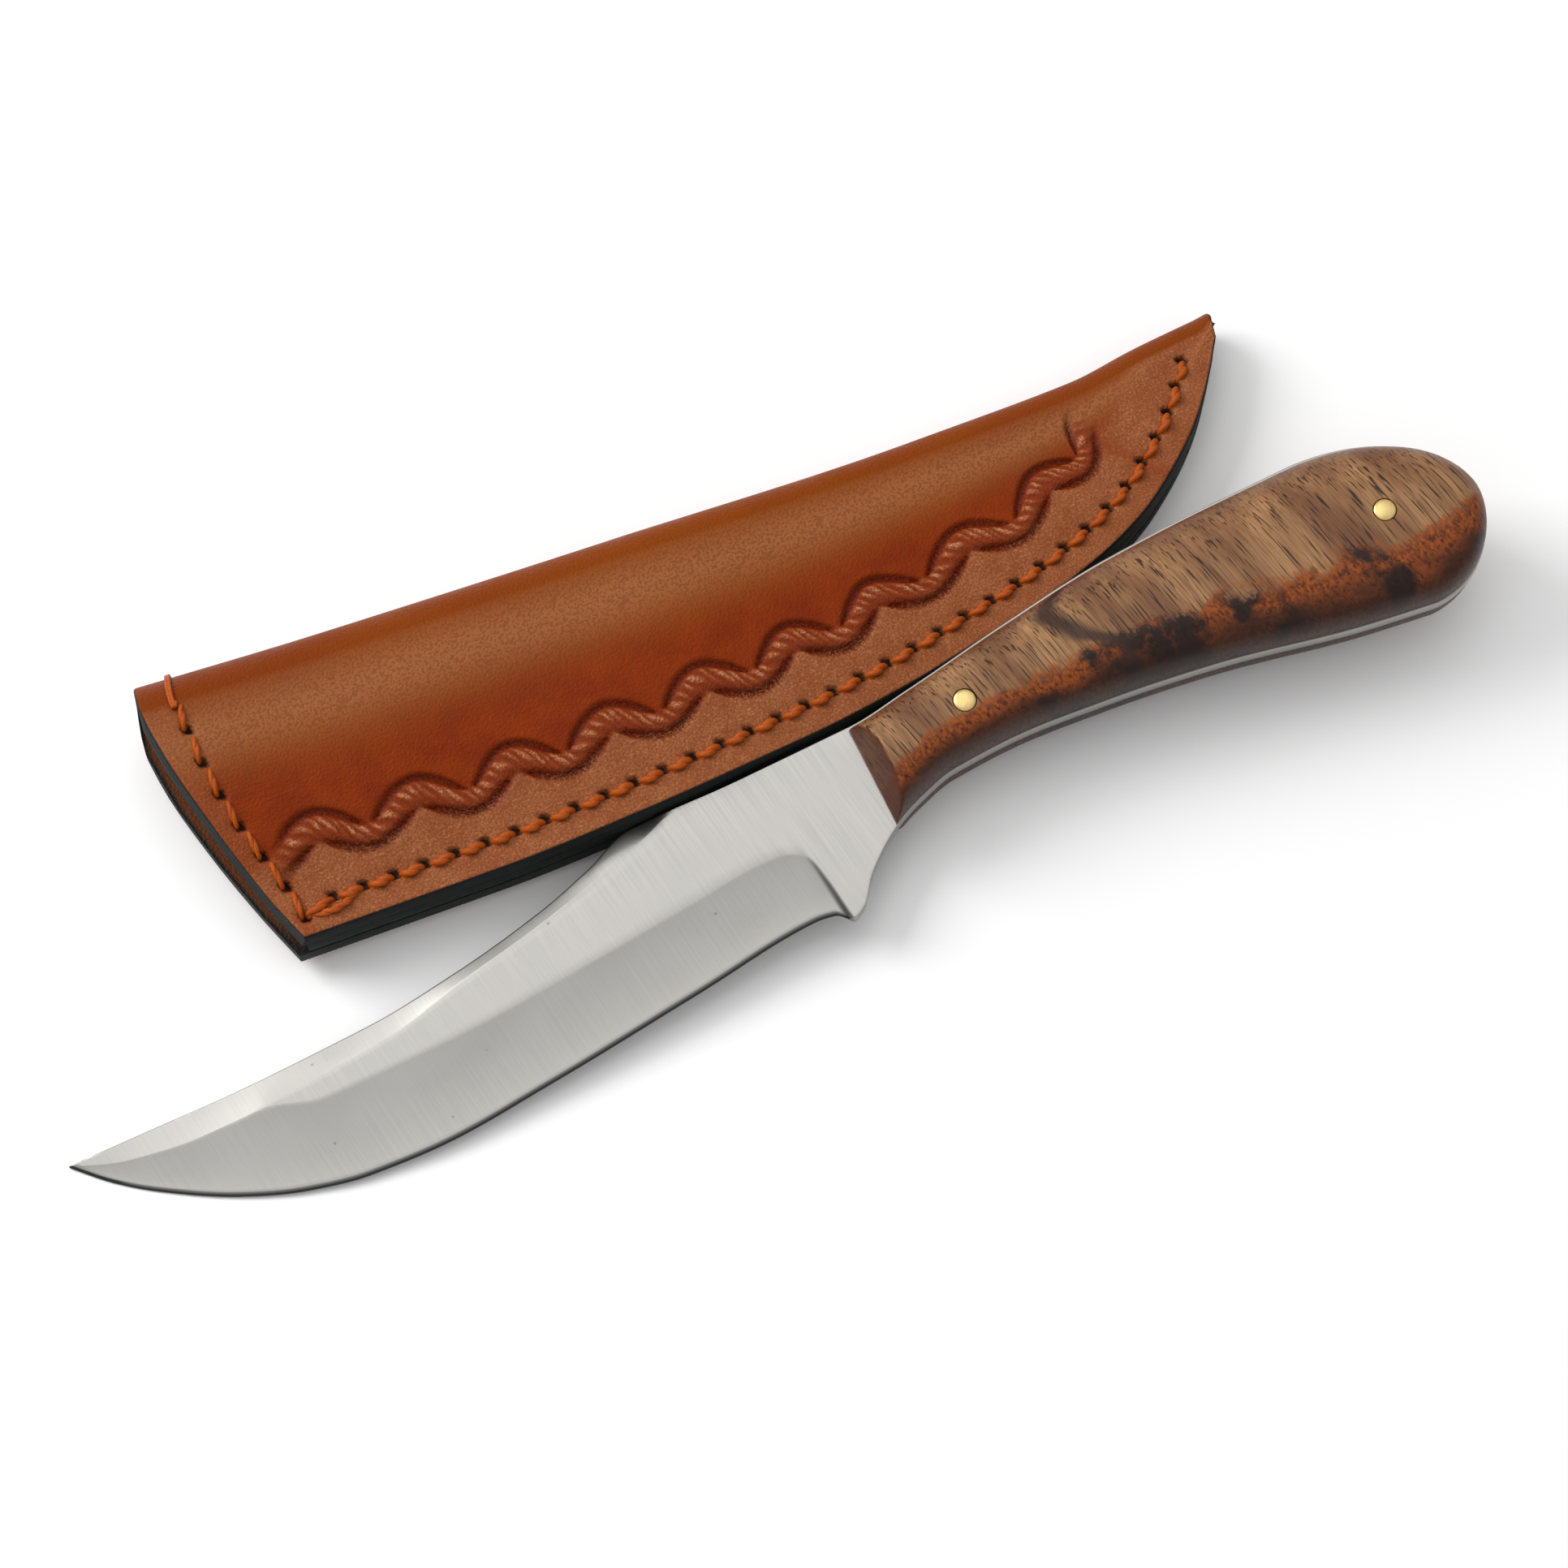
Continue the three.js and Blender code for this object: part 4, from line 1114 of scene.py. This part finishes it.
def make_edge_threads():
    """The seam along the stitched edge, front and back, with a double stitch at the mouth's corner."""
    holes = on_front(EDGE_HOLES)
    lie = {"slant": -0.15, "radius": 0.63, "ends": (0.2, 0.87), "aside": -0.3}
    front = stitch_row(holes, UP, 0.42, 0.9, -0.3, **lie)
    corner = on_front(CORNER_HOLE[None])[0]
    front.append(stitch(corner, holes[0], UP, 0.35, 1.1, -0.2, 0.1))
    front.append(stitch(corner, holes[1], UP, 0.5, 1.1, -1.25, 0.0, radius=0.5, turns=2.2))
    make_thread("front_stitches", "edge_thread_front", front)
    back = stitch_row(on_back(EDGE_HOLES), -UP, -0.68, 1.6, slant=0.15, radius=0.52)
    make_thread("back_stitches", "edge_thread_back", back)


def make_mouth_thread():
    """The row along the mouth, and the last stitch, which goes over the fold to the back."""
    holes = on_front(np.concatenate([[CORNER_HOLE], MOUTH_HOLES]))
    row = stitch_row(holes[::-1], UP, 0.3, 1.0, slant=0.28, radius=0.45, ends=(0.2, 0.94))
    u = float((mouth_stitch_x(40) - mouth_x(0.95)) / (SHEATH_TIP_X - mouth_x(0.95)))
    section = Section(np.array(u))
    turn = np.radians(np.linspace(90, -70, 30))
    y = section.bend + (section.fold_depth + 0.3) * np.cos(turn)
    x = along(u, clip01((y - section.edge) / section.width))
    z = back_z(x) + section.fold_height / 2 + (section.fold_height / 2 + 0.3) * np.sin(turn)
    over = np.stack([x, y, z], -1)
    start = holes[-1] - 0.9 * UP
    lead = np.linspace(0, 1, 5)[:, None] ** 0.6
    rise = mix(start, over[0], lead) + 0.5 * UP * np.sin(math.pi * lead)
    path = np.concatenate([rise[:-1], over])
    sideways = np.array([1.0, 0.0, 0.0])
    row.append([strand(path + offset * sideways, sideways, 0.27) for offset in (-0.17, 0.17)])
    make_thread("mouth_stitches", "mouth_thread", row)


def make_loop_threads():
    for end, line in zip(("upper", "lower"), loop_stitch_lines()):
        holes = np.column_stack([line, np.zeros(len(line))])
        row = stitch_row(holes, -UP, -0.68, 1.5, radius=0.52)
        make_thread("strap_stitches_" + end, "loop_thread_" + end, row)


make_sheath_body()
make_welt()
make_belt_loop()
make_edge_threads()
make_mouth_thread()
make_loop_threads()


# ---------------- floor, light and camera
WORLD_HORIZON = 0.43
WORLD_ZENITH = 0.86
WORLD_FRONT = 0.88
CAMERA_AZIMUTH = -20.5
CAMERA_ELEVATION = 69
CAMERA_DISTANCE = 0.5978  # metres


def make_floor():
    size = 4.0  # metres each way
    mesh = bpy.data.meshes.new("floor")
    corners = [(-size, -size, 0), (size, -size, 0), (size, size, 0), (-size, size, 0)]
    mesh.from_pydata(corners, [], [(0, 1, 2, 3)])
    s = Surface("pale_floor", Roughness=0.9)
    s.shader.inputs["Specular IOR Level"].default_value = 0.0
    s.feed("Base Color", s.blend(s.noise((40, 40, 40)), rgb(244, 244, 244), rgb(247, 247, 247)))
    mesh.materials.append(s.material)
    floor = bpy.data.objects.new("floor", mesh)
    bpy.context.scene.collection.objects.link(floor)


def direction(azimuth, elevation):
    """A direction from the object: azimuth from -Y towards +X and elevation, both in degrees."""
    a, e = math.radians(azimuth), math.radians(elevation)
    return Vector((math.sin(a) * math.cos(e), -math.cos(a) * math.cos(e), math.sin(e)))


def make_area_light(name, azimuth, elevation, distance, width, depth, watts):
    """A softbox that faces the object."""
    back = direction(azimuth, elevation)
    light = bpy.data.lights.new(name, "AREA")
    light.shape = "RECTANGLE"
    light.size = width
    light.size_y = depth
    light.energy = watts
    lamp = bpy.data.objects.new(name, light)
    lamp.location = back * distance
    lamp.rotation_mode = "QUATERNION"
    lamp.rotation_quaternion = back.to_track_quat("Z", "Y")
    bpy.context.scene.collection.objects.link(lamp)


def make_world():
    """A white studio that brightens from the horizon up, and a little from the front to the back."""
    world = bpy.data.worlds.new("studio")
    world.use_nodes = True
    nodes, links = world.node_tree.nodes, world.node_tree.links
    background = nodes["Background"]
    background.inputs["Color"].default_value = (1, 1, 1, 1)
    split = nodes.new("ShaderNodeSeparateXYZ")
    links.new(nodes.new("ShaderNodeTexCoord").outputs["Generated"], split.inputs[0])
    both = nodes.new("ShaderNodeMath")
    both.operation = "MULTIPLY"
    ranges = (("Z", 0.0, WORLD_HORIZON, WORLD_ZENITH), ("Y", -1.0, WORLD_FRONT, 2 - WORLD_FRONT))
    for i, (axis, start, low, high) in enumerate(ranges):
        fit = nodes.new("ShaderNodeMapRange")
        links.new(split.outputs[axis], fit.inputs["Value"])
        fit.inputs["From Min"].default_value = start
        fit.inputs["To Min"].default_value = low
        fit.inputs["To Max"].default_value = high
        links.new(fit.outputs[0], both.inputs[i])
    links.new(both.outputs[0], background.inputs["Strength"])
    bpy.context.scene.world = world


def make_camera():
    """Where the camera stands: in front, a little to the left and high above."""
    target = Vector(ROW_SHIFT + np.array([0, 0, 5])) * MM
    back = direction(CAMERA_AZIMUTH, CAMERA_ELEVATION)
    data = bpy.data.cameras.new("camera")
    data.lens = 100
    data.sensor_width = 36
    camera = bpy.data.objects.new("camera", data)
    camera.location = target + back * CAMERA_DISTANCE
    camera.rotation_mode = "QUATERNION"
    camera.rotation_quaternion = back.to_track_quat("Z", "Y")
    bpy.context.scene.collection.objects.link(camera)
    bpy.context.scene.camera = camera


make_floor()
make_world()
make_area_light("softbox", 190, 77, 1.0, 0.7, 0.45, 1.0)
make_area_light("key", 228, 38, 1.1, 0.6, 0.6, 8.4)
make_camera()
bpy.context.scene.view_settings.view_transform = "Standard"
